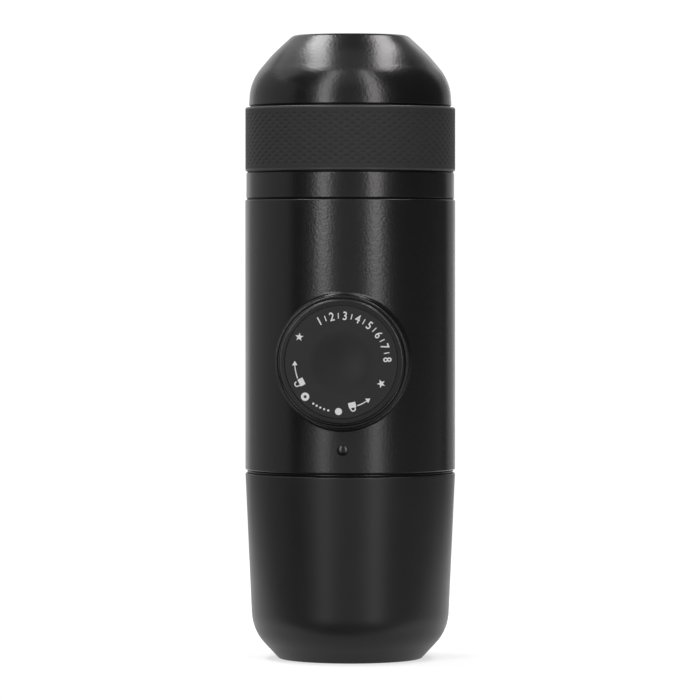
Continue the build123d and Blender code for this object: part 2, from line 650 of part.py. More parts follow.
def knob_cap():
    """Knob: face web, hub, and a skirt with two windows that the lock pins run in."""
    skirt_r = KNOB_R - KNOB_SKIRT
    recess_r = DISC_R + FIXED_GAP
    pocket_r = WASHER_R + FIXED_GAP
    hole_r = SPIGOT_R + FIXED_GAP
    rim = (KNOB_R, KNOB_REACH)
    points = [(skirt_r, SKIRT_REACH), (KNOB_R, SKIRT_REACH), rim, (recess_r, KNOB_REACH)]
    points += [(recess_r, WEB_FRONT_REACH), (pocket_r, WEB_FRONT_REACH)]
    points += [(pocket_r, HUB_SEAT_REACH), (hole_r, HUB_SEAT_REACH), (hole_r, HUB_REAR_REACH)]
    points += [(HUB_R, HUB_REAR_REACH), (HUB_R, WEB_REAR_REACH), (skirt_r, WEB_REAR_REACH)]
    cap = turned(points, [(rim, KNOB_EDGE)])
    margin = degrees(asin((PIN_R + WINDOW_GAP) / (GUIDE_R - PIN_BITE)))
    for pin_angle in (90, 270):
        flat = sector(HUB_R, GUIDE_R, pin_angle - TWIST - margin, TWIST + 2 * margin)
        window = extrude(Plane.XY.offset(WINDOW_REAR_REACH) * flat, WINDOW_FRONT_REACH - WINDOW_REAR_REACH)
        cap -= window
    return PISTON_AXIS * cap


def knob_disc():
    """Face disc of the knob, with a shallow dish for the thumb."""
    face = KNOB_REACH - DISC_RECESS
    dish_r = (DISH_R**2 + DISH_DEPTH**2) / (2 * DISH_DEPTH)
    dish = Sphere(dish_r).moved(Location((0, 0, face + dish_r - DISH_DEPTH)))
    return PISTON_AXIS * (rod(DISC_R, WEB_FRONT_REACH, face) - dish)


def return_spring():
    """Spring between the sleeve's floor and the knob's web."""
    low, high = FLOOR_REACH + SEAT_GAP, WEB_REAR_REACH - SEAT_GAP
    return PISTON_AXIS * coil(SPRING_R, SPRING_WIRE_R, low, high, SPRING_TURNS)


# ---------------------------------------------------------------- valves and vent
def cartridge(bottom):
    """Valve seat with the ball's cage above it."""
    top, seat = bottom + CARTRIDGE_LENGTH, bottom + VALVE_SEAT_LENGTH
    points = [(VALVE_SEAT_R, bottom), (CARTRIDGE_R, bottom), (CARTRIDGE_R, top)]
    return VALVE_AXIS * turned(points + [(CAGE_R, top), (CAGE_R, seat), (VALVE_SEAT_R, seat)])


def ball_height(bottom):
    """Height of the centre of a ball that lies on its seat's edge."""
    return bottom + VALVE_SEAT_LENGTH + sqrt(BALL_R**2 - VALVE_SEAT_R**2) + SEAT_GAP


def ball(bottom):
    """Steel ball of a check valve."""
    return Sphere(BALL_R).moved(Location((0, VALVE_Y, ball_height(bottom))))


def valve_spring(bottom):
    """Light spring between the ball and the end of its bore."""
    to_wire = BALL_R + VALVE_WIRE_R + SEAT_GAP
    low = ball_height(bottom) + sqrt(to_wire**2 - VALVE_SPRING_R**2) - VALVE_WIRE_R
    high = bottom + CARTRIDGE_LENGTH - SEAT_GAP
    return VALVE_AXIS * coil(VALVE_SPRING_R, VALVE_WIRE_R, low, high, VALVE_SPRING_TURNS)


def inlet_strainer():
    """Small sieve under the deck, over the inlet."""
    low, floor = DECK_BOTTOM - STRAINER_DEPTH, DECK_BOTTOM - STRAINER_DEPTH + STRAINER_WALL
    cup = rod(STRAINER_R, low, DECK_BOTTOM) - rod(STRAINER_R - STRAINER_WALL, floor, DECK_BOTTOM)
    return VALVE_AXIS * (cup - sieve(rod(STRAINER_HOLE_R, low, floor), STRAINER_PITCH, STRAINER_RINGS))


def vent_tube():
    """Air pipe from the deck down into the tank."""
    low = LINER_BOTTOM + LINER_WALL + VENT_TUBE_FOOT
    return VENT_AXIS * tube(VENT_BORE_R, VENT_TUBE_R, low, DECK_BOTTOM + VENT_SINK)


def vent_flap():
    """Silicone flap that lets air in and keeps water from leaving."""
    return VENT_AXIS * rod(VENT_FLAP_R, DECK_TOP, DECK_TOP + VENT_FLAP)


# ---------------------------------------------------------------- screen, basket and outlet head
def shower_screen():
    """Perforated steel disc that spreads the water over the coffee."""
    low = LAND_TOP - SCREEN
    holes = sieve(rod(SCREEN_HOLE_R, low, LAND_TOP), SCREEN_PITCH, SCREEN_RINGS)
    return rod(SCREEN_R, low, LAND_TOP) - holes


def basket_gasket():
    """Silicone ring between the land and the basket's mouth."""
    return tube(BASKET_INNER_R + FIXED_GAP, HEAD_BORE_R - GASKET_MARGIN, LAND_TOP, BASKET_MOUTH)


def filter_basket():
    """Steel basket, mouth down, with a flange at its mouth and a sieve at its top."""
    top, inner_top = BASKET_TOP, BASKET_TOP - BASKET_WALL
    points = [(BASKET_INNER_R, BASKET_MOUTH), (BASKET_FLANGE_R, BASKET_MOUTH)]
    points += [(BASKET_FLANGE_R, HEAD_NECK_BOTTOM), (BASKET_R, HEAD_NECK_BOTTOM), (BASKET_R, top)]
    points += [(0, top), (0, inner_top), (BASKET_INNER_R, inner_top)]
    rounds = [((BASKET_R, top), BASKET_ROUND)]
    rounds += [((BASKET_INNER_R, inner_top), BASKET_ROUND - BASKET_WALL)]
    holes = sieve(rod(BASKET_HOLE_R, inner_top, top), BASKET_PITCH, BASKET_RINGS)
    return turned(points, rounds) - holes


def head_gasket():
    """Silicone ring between the spigot and the outlet head's grip."""
    return tube(HEAD_NECK_R + FIXED_GAP, SPIGOT_OUTER_R - GASKET_MARGIN, SPIGOT_TOP, GRIP_BOTTOM)


def outlet_head():
    """Screw-in head: threaded neck, collecting roof, fluted grip and nozzle."""
    neck_in = HEAD_NECK_R - HEAD_NECK_WALL
    roof = BASKET_TOP + ROOF_GAP
    shelf_r = GRIP_R - GRIP_WALL
    nozzle_rim = (NOZZLE_R, NOZZLE_TOP)
    points = [(neck_in, HEAD_NECK_BOTTOM), (HEAD_NECK_R, HEAD_NECK_BOTTOM)]
    points += [(HEAD_NECK_R, GRIP_BOTTOM), (GRIP_R, GRIP_BOTTOM), (GRIP_R, GRIP_TOP)]
    points += [(shelf_r, GRIP_TOP), (shelf_r, SHELF_Z), (NOZZLE_BASE_R, SHELF_Z), nozzle_rim]
    points += [(TIP_R, NOZZLE_TOP), (TIP_R, NOZZLE_TOP - TIP_SINK)]
    points += [(OUTLET_R, NOZZLE_TOP - TIP_SINK), (OUTLET_R, roof + ROOF_RISE), (neck_in, roof)]
    body = turned(points, [(nozzle_rim, NOZZLE_EDGE)])
    crest_r = HEAD_BORE_R - THREAD_GAP
    body += thread_ribs(
        HEAD_NECK_R - THREAD_ROOT, crest_r, HEAD_THREAD_Z, HEAD_THREAD_HEIGHT, THREAD_START_ANGLE
    )
    flute = rod(FLUTE_R, GRIP_BOTTOM, GRIP_TOP)
    return body - on_circle(flute, GRIP_R + FLUTE_R - FLUTE_DEPTH, GRIP_FLUTES)


def outlet_nozzle():
    """Soft insert in the nozzle that the coffee leaves through."""
    low, high = NOZZLE_TOP - TIP_SINK, NOZZLE_TOP - TIP_SINK + TIP_LENGTH
    outer_r = TIP_R - SNUG_GAP
    points = [(TIP_BORE_R, low), (outer_r, low), (outer_r, NOZZLE_TOP)]
    return turned(points + [(TIP_END_R, high), (TIP_BORE_R, high)])


# ---------------------------------------------------------------- scoop and cup
def scoop():
    """Measuring scoop, upside down over the nozzle, with a thumb tab over the grip."""
    inner_r, floor = SCOOP_R - SCOOP_WALL, SCOOP_TOP - SCOOP_FLOOR
    points = [(inner_r, SHELF_Z), (SCOOP_R, SHELF_Z), (SCOOP_R, SCOOP_TOP), (0, SCOOP_TOP)]
    points += [(0, floor), (inner_r, floor)]
    rounds = [((SCOOP_R, SCOOP_TOP), SCOOP_ROUND), ((inner_r, floor), SCOOP_ROUND - SCOOP_WALL)]
    tab_low = GRIP_TOP + TAB_GAP
    tab = Box(TAB_REACH, TAB_WIDTH, TAB_THICKNESS, align=(Align.MIN, Align.CENTER, Align.MIN))
    tab = (Location((0, 0, tab_low)) * tab) & tube(
        SCOOP_R - TAB_ROOT, TAB_REACH, tab_low, tab_low + TAB_THICKNESS
    )
    return turned(points, rounds) + tab


def dome_corners(side_r, side_z, draft_angle, inset):
    """Shoulder and crown corners of the dome's outline, taken in by an inset."""
    cone, draft = tan(radians(DOME_CONE_ANGLE)), tan(radians(draft_angle))
    top_z = TOTAL_HEIGHT - inset
    top_r = DOME_TOP_R + inset * cone - inset / cos(radians(DOME_CONE_ANGLE))
    shoulder_z = (top_r + top_z * cone - side_r - side_z * draft) / (cone - draft)
    return (side_r - (shoulder_z - side_z) * draft, shoulder_z), (top_r, top_z)


def cup_shell():
    """Cup, mouth down: a lip ring, a waist for the grip band, and a dome."""
    waist_in = CUP_WAIST_R - CUP_WALL
    shoulder, crown = dome_corners(DOME_R, DOME_BOTTOM, DOME_DRAFT, 0)
    shoulder_in, crown_in = dome_corners(waist_in, LIP_TOP, 0, DOME_WALL)
    lip_low, lip_high, dome_low = (LIP_R, CUP_MOUTH), (LIP_R, LIP_TOP), (DOME_R, DOME_BOTTOM)
    points = [(CUP_INNER_R, CUP_MOUTH), lip_low, lip_high, (CUP_WAIST_R, LIP_TOP)]
    points += [(CUP_WAIST_R, DOME_BOTTOM), dome_low, shoulder, crown, (0, TOTAL_HEIGHT)]
    points += [(0, crown_in[1]), crown_in, shoulder_in, (waist_in, LIP_TOP), (CUP_INNER_R, LIP_TOP)]
    rounds = [(shoulder, DOME_SHOULDER_R), (crown, DOME_CROWN_R)]
    rounds += [(shoulder_in, DOME_SHOULDER_R - DOME_WALL), (crown_in, DOME_CROWN_R - DOME_WALL)]
    rounds += [(lip_low, EDGE_ROUND), (lip_high, EDGE_ROUND), (dome_low, BOSS_EDGE)]
    return turned(points, rounds)


def cup_band():
    """Rubber grip band around the cup's waist."""
    inner_r = CUP_WAIST_R + SNUG_GAP
    low, high = (BAND_R, LIP_TOP + BAND_GAP), (BAND_R, DOME_BOTTOM - BAND_GAP)
    points = [(inner_r, low[1]), low, high, (inner_r, high[1])]
    return turned(points, [(low, BAND_EDGE), (high, BAND_EDGE)])


# ---------------------------------------------------------------- all nodes
NODES = {
    "tank_shell": tank_shell,
    "tank_liner": tank_liner,
    "tank_gasket": tank_gasket,
    "body_shell": body_shell,
    "tank_socket": tank_socket,
    "head_socket": head_socket,
    "cup_seal": cup_seal,
    "lower_screws": lower_screws,
    "upper_screws": upper_screws,
    "pump_housing": pump_housing,
    "pump_barrel": pump_barrel,
    "barrel_seal": barrel_seal,
    "barrel_plug": barrel_plug,
    "lock_pins": lock_pins,
    "piston": piston,
    "piston_rings": piston_rings,
    "knob_washer": knob_washer,
    "knob_screw": knob_screw,
    "knob_cap": knob_cap,
    "knob_disc": knob_disc,
    "return_spring": return_spring,
    "inlet_cartridge": lambda: cartridge(INLET_BOTTOM),
    "inlet_ball": lambda: ball(INLET_BOTTOM),
    "inlet_spring": lambda: valve_spring(INLET_BOTTOM),
    "outlet_cartridge": lambda: cartridge(OUTLET_BOTTOM),
    "outlet_ball": lambda: ball(OUTLET_BOTTOM),
    "outlet_spring": lambda: valve_spring(OUTLET_BOTTOM),
    "inlet_strainer": inlet_strainer,
    "vent_tube": vent_tube,
    "vent_flap": vent_flap,
    "shower_screen": shower_screen,
    "basket_gasket": basket_gasket,
    "filter_basket": filter_basket,
    "head_gasket": head_gasket,
    "outlet_head": outlet_head,
    "outlet_nozzle": outlet_nozzle,
    "scoop": scoop,
    "cup_shell": cup_shell,
    "cup_band": cup_band,
}

os.makedirs("parts", exist_ok=True)
for name, make in NODES.items():
    export_step(make(), f"parts/{name}.step")
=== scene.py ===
import json
import logging
import math
from collections.abc import Mapping, Sequence
from dataclasses import dataclass, field, replace
from enum import Enum

import bmesh
import bpy
import numpy as np
from mathutils import Matrix, Vector


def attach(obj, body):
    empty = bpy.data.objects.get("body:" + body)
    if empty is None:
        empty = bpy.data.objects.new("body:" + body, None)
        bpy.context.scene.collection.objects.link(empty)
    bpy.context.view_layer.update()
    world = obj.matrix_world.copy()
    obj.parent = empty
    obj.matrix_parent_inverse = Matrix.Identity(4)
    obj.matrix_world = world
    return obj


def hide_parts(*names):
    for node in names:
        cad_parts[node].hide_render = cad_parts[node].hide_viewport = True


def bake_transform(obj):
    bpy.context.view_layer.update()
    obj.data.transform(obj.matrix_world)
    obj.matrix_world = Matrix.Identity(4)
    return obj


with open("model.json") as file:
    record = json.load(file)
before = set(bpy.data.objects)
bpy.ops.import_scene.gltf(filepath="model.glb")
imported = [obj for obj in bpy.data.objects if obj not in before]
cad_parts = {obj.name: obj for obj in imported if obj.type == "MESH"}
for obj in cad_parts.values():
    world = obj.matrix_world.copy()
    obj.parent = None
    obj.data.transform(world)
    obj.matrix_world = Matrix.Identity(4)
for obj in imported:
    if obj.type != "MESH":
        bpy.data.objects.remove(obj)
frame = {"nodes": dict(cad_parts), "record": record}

# A handheld manual espresso maker: water tank, main body with its thumb pump, outlet head, and cup.
# Shapes are worked out in millimetres, with +Z up and the knob towards -Y, and stored in metres.

logging.basicConfig(level=logging.INFO, format="%(message)s")
log = logging.getLogger("espresso_maker")

Pair = tuple[float, float]
Triple = tuple[float, float, float]
Array = np.ndarray
Numbers = np.ndarray | float

MM = 0.001
BODY_R = 29.5  # the round casing
PISTON_Z = 84.1  # height of the piston's axis
DISC_FACE = 34.9  # reach of the knob's printed face from the body's axis
BUMP_Z = 59.6  # height of the lock's index bump
WELD = 2e-6  # metres: points nearer than this become one
UP = (0.0, 0.0, 1.0)
LEVEL = (1.0, 1.0, 0.0)  # both level axes
ORIGIN = (0.0, 0.0, 0.0)
SLIVER = 1e-7  # metres: edges shorter than this are dissolved
NEAR = 1e-6  # angles in radians and heights in mm nearer than this are the same
HELD = 0.25  # mm from a rounding to the point that keeps the flat beside it flat
OUTWARD = 0.97  # a normal whose outward part is more than this belongs to the round wall


class Body(Enum):
    """The moving bodies that pieces ride on."""

    TANK = "tank"
    MAIN = "main_body"
    PISTON = "piston_unit"
    KNOB = "knob"
    INLET_VALVE = "inlet_valve"
    OUTLET_VALVE = "outlet_valve"
    CUP = "cup"


class Stock(Enum):
    """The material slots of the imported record."""

    TANK = "tank_plastic"
    BODY = "body_plastic"
    GRIP = "grip_rubber"
    KNOB = "knob_plastic"
    LINER = "liner_plastic"
    CHASSIS = "chassis_plastic"
    ACETAL = "acetal"
    WHITE_SILICONE = "silicone_white"
    BLACK_SILICONE = "silicone_black"
    STAINLESS = "stainless"
    SPRING = "spring_steel"


# ---------------------------------------------------------------- shader graphs
class Value:
    """A shader socket that takes part in Python arithmetic; each operator adds a Math node."""

    def __init__(self, graph: "Graph", socket: bpy.types.NodeSocket) -> None:
        """Wraps one output socket of a graph."""
        self.graph = graph
        self.socket = socket

    def maths(self, operation: str, *values: "Value | float") -> "Value":
        """Adds a Math node over the given values and returns its result."""
        return self.graph.add("ShaderNodeMath", {"operation": operation}, dict(enumerate(values)))

    def __add__(self, other: "Value | float") -> "Value":
        """Sum of two values."""
        return self.maths("ADD", self, other)

    def __sub__(self, other: "Value | float") -> "Value":
        """Difference of two values."""
        return self.maths("SUBTRACT", self, other)

    def __rsub__(self, other: float) -> "Value":
        """A number less this value."""
        return self.maths("SUBTRACT", other, self)

    def __mul__(self, other: "Value | float") -> "Value":
        """Product of two values."""
        return self.maths("MULTIPLY", self, other)

    def __pow__(self, other: float) -> "Value":
        """This value to a power."""
        return self.maths("POWER", self, other)

    __radd__ = __add__
    __rmul__ = __mul__


class Graph:
    """The shader nodes of one material."""

    def __init__(self, name: str) -> None:
        """Starts a material with an empty node tree.

        Args:
            name: The material's name.
        """
        self.material = bpy.data.materials.new(name)
        self.material.use_nodes = True
        self.tree = self.material.node_tree
        self.tree.nodes.clear()
        self.place = self.add("ShaderNodeTexCoord", output="Object")

    def node(
        self,
        kind: str,
        settings: Mapping[str, object] | None = None,
        inputs: Mapping[str | int, object] | None = None,
    ) -> bpy.types.Node:
        """Adds a node, its settings first and then its sockets.

        Args:
            kind: The node's type name.
            settings: Attributes of the node.
            inputs: A Value to link, or a plain value to store, for each socket name or number.
        Returns:
            The node.
        """
        node = self.tree.nodes.new(kind)
        for key, setting in (settings or {}).items():
            setattr(node, key, setting)
        for key, given in (inputs or {}).items():
            if isinstance(given, Value):
                self.tree.links.new(given.socket, node.inputs[key])
            else:
                node.inputs[key].default_value = given
        return node

    def add(
        self,
        kind: str,
        settings: Mapping[str, object] | None = None,
        inputs: Mapping[str | int, object] | None = None,
        output: str | int = 0,
    ) -> Value:
        """Adds a node and returns one of its outputs; the other arguments are those of node."""
        return Value(self, self.node(kind, settings, inputs).outputs[output])

    def noise(self, size: float, detail: float = 2.0, stretch: Triple = (1.0, 1.0, 1.0)) -> Value:
        """Smooth noise about 0.5.

        Args:
            size: Width of its patches in mm.
            detail: Octaves of finer noise.
            stretch: How much longer the patches are along each axis.
        Returns:
            The noise as a Value.
        """
        scale = tuple(1.0 / (size * MM * s) for s in stretch)
        place = self.add("ShaderNodeMapping", None, {"Vector": self.place, "Scale": scale})
        wanted = {"Vector": place, "Scale": 1.0, "Detail": detail, "Roughness": 0.55}
        return self.add("ShaderNodeTexNoise", None, wanted)

    def blend(self, amount: Value, low: Triple, high: Triple, over: Value | None = None) -> Value:
        """A colour between two.

        Args:
            amount: Where the result lies between them.
            low: The colour at 0.
            high: The colour at 1.
            over: A colour to tint with the result.
        Returns:
            The colour as a Value.
        """
        wanted = {0: amount, 6: (*low, 1.0), 7: (*high, 1.0)}
        colour = self.add("ShaderNodeMix", {"data_type": "RGBA"}, wanted, 2)
        if over is None:
            return colour
        settings = {"data_type": "RGBA", "blend_type": "MULTIPLY"}
        return self.add("ShaderNodeMix", settings, {0: 1.0, 6: over, 7: colour}, 2)

    def vector(self, operation: str, *values: Value | Triple, output: str | int = 0) -> Value:
        """Adds a Vector Math node over the given values and returns one of its outputs."""
        settings = {"operation": operation}
        return self.add("ShaderNodeVectorMath", settings, dict(enumerate(values)), output)

    def distance(self, centre: Triple, near: float, far: float, axes: Triple = (1, 0, 1)) -> Value:
        """Rises smoothly from 0 to 1 between two distances from a line or point, all in mm.

        Args:
            centre: A point on the line.
            near: Distance where the rise starts.
            far: Distance where it ends.
            axes: 1 for each axis that counts, 0 for the one that runs along the line.
        Returns:
            The rise as a Value.
        """
        away = self.vector("SUBTRACT", self.place, tuple(c * MM for c in centre))
        flat = self.vector("MULTIPLY", away, axes)
        length = self.vector("LENGTH", flat, output="Value")
        wanted = {"Value": length, "From Min": near * MM, "From Max": far * MM}
        return self.add("ShaderNodeMapRange", {"interpolation_type": "SMOOTHSTEP"}, wanted)

    def bump(self, height: Value, depth: float, below: Value | None = None) -> Value:
        """A normal disturbed by a height.

        Args:
            height: The height as a Value.
            depth: Millimetres for each unit of it.
            below: A normal that this one lies on top of.
        Returns:
            The normal as a Value.
        """
        wanted: dict[str | int, object] = {"Height": height, "Distance": depth * MM}
        if below is not None:
            wanted["Normal"] = below
        return self.add("ShaderNodeBump", None, wanted)

    def shade(self, inputs: Mapping[str | int, object]) -> bpy.types.Material:
        """Ends the graph in a Principled shader.

        Args:
            inputs: A Value to link, or a plain value to store, for each socket name.
        Returns:
            The material.
        """
        shader = self.add("ShaderNodeBsdfPrincipled", None, inputs)
        self.node("ShaderNodeOutputMaterial", None, {"Surface": shader})
        return self.material


def scaled(colour: Triple, by: float) -> Triple:
    """A colour made lighter or darker."""
    return tuple(channel * by for channel in colour)


def grey(level: float) -> Triple:
    """A grey of this level."""
    return (level, level, level)


# ---------------------------------------------------------------- finishes
@dataclass(frozen=True)
class Moulded:
    """Moulded plastic: a mottled tint, a fine grain, and the slow ripple called orange peel.

    A thumb patch, given as its centre, radius and strength, is smoother where fingers rest,
    and darker with painted shade in the knob's dish. A painted foot shade, given as two
    heights and a strength, darkens the tint below the first and leaves it above the second.
    """

    name: str
    colour: Triple
    roughness: float
    level: float = 0.3
    peel_size: float = 1.2
    peel_depth: float = 0.004
    grain_size: float = 0.25
    grain_depth: float = 0.002
    patch_size: float = 9.0
    mottle: float = 0.25
    patchiness: float = 0.08
    coat: float = 0.0
    coat_roughness: float = 0.12
    dish_wear_and_painted_shade: tuple[Triple, float, float] | None = None
    thumb_smoother: float = 0.04
    foot_painted_shade: Triple | None = None
    foot_rougher: float = 0.06

    def build(self) -> bpy.types.Material:
        """Makes the material: peel and grain in the normal, patches in tint and roughness.

        Returns:
            The material.
        """
        graph = Graph(self.name)
        peel = graph.noise(self.peel_size, 1.0)
        grain = graph.noise(self.grain_size, 2.0)
        patches = graph.noise(self.patch_size, 3.0)
        dark, light = (scaled(self.colour, 1.0 + way * self.mottle) for way in (-1.0, 1.0))
        tint = graph.blend(patches * 0.7 + grain * 0.3, dark, light)
        rough = (patches - 0.5) * self.patchiness + self.roughness
        # Thumb patch: painted shade darkens the tint in the knob's dish; its lower roughness is
        # wear.
        if self.dish_wear_and_painted_shade:
            centre, radius, strength = self.dish_wear_and_painted_shade
            inside = 1.0 - graph.distance(centre, radius * 0.9, radius * 1.1)
            tint = graph.blend(inside, grey(1.0), grey(1.0 - strength), tint)
            rough = rough - inside * self.thumb_smoother
        # Painted foot shade: the tint darkens below the first height, where the foot curves under;
        # the roughness also rises there.
        if self.foot_painted_shade:
            low, high, strength = self.foot_painted_shade
            above = graph.distance(ORIGIN, low, high, UP)
            tint = graph.blend(above, grey(1.0 - strength), grey(1.0), tint)
            rough = rough + (1.0 - above) * self.foot_rougher
        wanted = {
            "Base Color": tint,
            "Roughness": rough,
            "Specular IOR Level": self.level,
            "Coat Weight": self.coat,
            "Coat Roughness": self.coat_roughness,
            "Normal": graph.bump(peel, self.peel_depth, graph.bump(grain, self.grain_depth)),
        }
        return graph.shade(wanted)


@dataclass(frozen=True)
class Rubber:
    """Rubber or silicone: soft sheen, dust in its pores, and a fine matt grain.

    Pits, given as the distances from Z of their floor and of the face, are darker inside with
    painted shade. Rims, given as a middle height and the distance from it to them, are worn
    smoother and lighter with a painted highlight.
    """

    name: str
    colour: Triple
    roughness: float = 0.7
    level: float = 0.3
    grain_size: float = 0.3
    grain_depth: float = 0.006
    patch_size: float = 6.0
    patchiness: float = 0.1
    dust: float = 0.35
    sheen: float = 0.08
    sheen_roughness: float = 0.4
    through: float = 0.0
    pits: Pair | None = None
    pit_shade_tint: float = 0.80
    rims: Pair | None = None
    rim_width: float = 0.3
    rim_highlight_tint: float = 2.2
    rim_smoother: float = 0.35

    def build(self) -> bpy.types.Material:
        """Makes the material: grain in the normal, and dust that lightens its hollows.

        Returns:
            The material.
        """
        graph = Graph(self.name)
        grain = graph.noise(self.grain_size, 3.0)
        patches = graph.noise(self.patch_size, 3.0)
        dusty = patches * 0.6 + (1.0 - grain) ** 3.0
        tint = graph.blend(dusty, self.colour, scaled(self.colour, 1.0 + self.dust))
        # Painted shade: the tint darkens towards the floors of the pits.
        if self.pits:
            face = graph.distance(ORIGIN, *self.pits, LEVEL)
            tint = graph.blend(face, grey(self.pit_shade_tint), grey(1.0), tint)
        rough = (patches - 0.5) * self.patchiness + self.roughness
        # Painted highlight: the tint lightens along the rims; the smoother roughness there is wear.
        if self.rims:
            middle, reach = self.rims
            near = reach - self.rim_width
            rim = graph.distance((0.0, 0.0, middle), near, reach, UP)
            tint = graph.blend(rim, grey(1.0), grey(self.rim_highlight_tint), tint)
            rough = rough - rim * self.rim_smoother
        wanted = {
            "Base Color": tint,
            "Roughness": rough,
            "Specular IOR Level": self.level,
            "Sheen Weight": self.sheen,
            "Sheen Roughness": self.sheen_roughness,
            "Subsurface Weight": self.through,
            "Subsurface Scale": 0.002,
            "Normal": graph.bump(grain, self.grain_depth),
        }
        return graph.shade(wanted)


@dataclass(frozen=True)
class Steel:
    """Stainless steel with a brushed grain that runs along one axis, and a slight heat tint."""

    name: str
    colour: Triple = (0.60, 0.585, 0.56)
    roughness: float = 0.28
    brush: Triple = (14.0, 14.0, 1.0)
    brush_size: float = 0.12
    brush_depth: float = 0.0008
    cloud_size: float = 5.0

    def build(self) -> bpy.types.Material:
        """Makes the material: long thin noise in roughness, tint and normal.

        Returns:
            The material.
        """
        graph = Graph(self.name)
        strokes = graph.noise(self.brush_size, 2.0, self.brush)
        clouds = graph.noise(self.cloud_size, 3.0)
        wanted = {
            "Base Color": graph.blend(clouds, scaled(self.colour, 0.88), scaled(self.colour, 1.08)),
            "Metallic": 1.0,
            "Roughness": (strokes - 0.5) * 0.22 + (clouds - 0.5) * 0.1 + self.roughness,
            "Normal": graph.bump(strokes, self.brush_depth),
        }
        return graph.shade(wanted)


@dataclass(frozen=True)
class Ink:
    """Pad-printed ink: flat, slightly uneven and worn thin in specks."""

    name: str
    colour: Triple
    roughness: float = 0.5
    speck_size: float = 0.15
    speck_depth: float = 0.004

    def build(self) -> bpy.types.Material:
        """Makes the material: fine specks that darken the ink.

        Returns:
            The material.
        """
        graph = Graph(self.name)
        specks = graph.noise(self.speck_size, 3.0)
        wanted = {
            "Base Color": graph.blend(specks**2.0, self.colour, scaled(self.colour, 0.7)),
            "Roughness": (specks - 0.5) * 0.2 + self.roughness,
            "Normal": graph.bump(specks, self.speck_depth),
        }
        return graph.shade(wanted)


FINISHES: dict[Stock, Moulded | Rubber | Steel] = {
    Stock.TANK: Moulded(
        "Tank_matt_black", (0.0120, 0.0120, 0.0125), 0.34, 0.34,
        peel_size=1.6, peel_depth=0.003, grain_size=0.3, grain_depth=0.003,
        foot_painted_shade=(7.0, 10.5, 0.85),
    ),
    Stock.BODY: Moulded(
        "Casing_satin_black", (0.0046, 0.0046, 0.0050), 0.24, 0.50,
        peel_size=0.70, peel_depth=0.036, grain_size=0.3, grain_depth=0.0015,
    ),
    Stock.GRIP: Rubber(
        "Grip_charcoal_rubber", (0.0185, 0.0185, 0.0188), 0.70, 0.30,
        dust=0.70, pits=(29.34, 29.45), rims=(145.8, 8.5),
    ),
    Stock.KNOB: Moulded(
        "Knob_matt_black", (0.0085, 0.0085, 0.0090), 0.28, 0.42,
        peel_size=2.2, peel_depth=0.003, grain_size=0.35, grain_depth=0.005,
    ),
    Stock.LINER: Moulded(
        "Liner_smoke_grey", (0.055, 0.056, 0.060), 0.18, 0.5, peel_depth=0.002, coat=0.5
    ),
    Stock.CHASSIS: Moulded(
        "Chassis_glass_filled", (0.020, 0.020, 0.022), 0.42, 0.4,
        grain_size=0.4, grain_depth=0.006, mottle=0.35,
    ),
    Stock.ACETAL: Moulded(
        "Acetal_natural", (0.68, 0.66, 0.60), 0.32, 0.5, peel_depth=0.002, mottle=0.05
    ),
    Stock.WHITE_SILICONE: Rubber(
        "Silicone_milky", (0.58, 0.58, 0.56), 0.42, 0.4, dust=0.08, sheen=0.1, through=0.3
    ),
    Stock.BLACK_SILICONE: Rubber("Silicone_black", (0.012, 0.012, 0.012), 0.45, 0.35),
    Stock.STAINLESS: Steel("Stainless_brushed"),
    Stock.SPRING: Steel("Spring_wire", (0.66, 0.655, 0.64), 0.16, (1.0, 9.0, 1.0), 0.15, 0.0004),
}
# Painted shade: near-black rings set in the seams stand in for the shade there.
SEAM_PAINTED_SHADE = Rubber("Seam_painted_shade_black", (0.0025, 0.0025, 0.0025), 0.40, 0.10, sheen=0.0)
# Painted shade: the near-black ring sunk in the gap round the knob stands in for the gap's shade.
GAP_PAINTED_SHADE = Rubber("Knob_gap_painted_shade", (0.008, 0.008, 0.008), 0.45, 0.25, sheen=0.0)
MARK_INK = Ink("Mark_ink_white", (0.76, 0.76, 0.76))


def put(name: str, data: bpy.types.ID) -> bpy.types.Object:
    """Adds an object with this data to the scene.

    Args:
        name: The object's name.
        data: Its mesh, light or camera.
    Returns:
        The object.
    """
    thing = bpy.data.objects.new(name, data)
    bpy.context.scene.collection.objects.link(thing)
    return thing


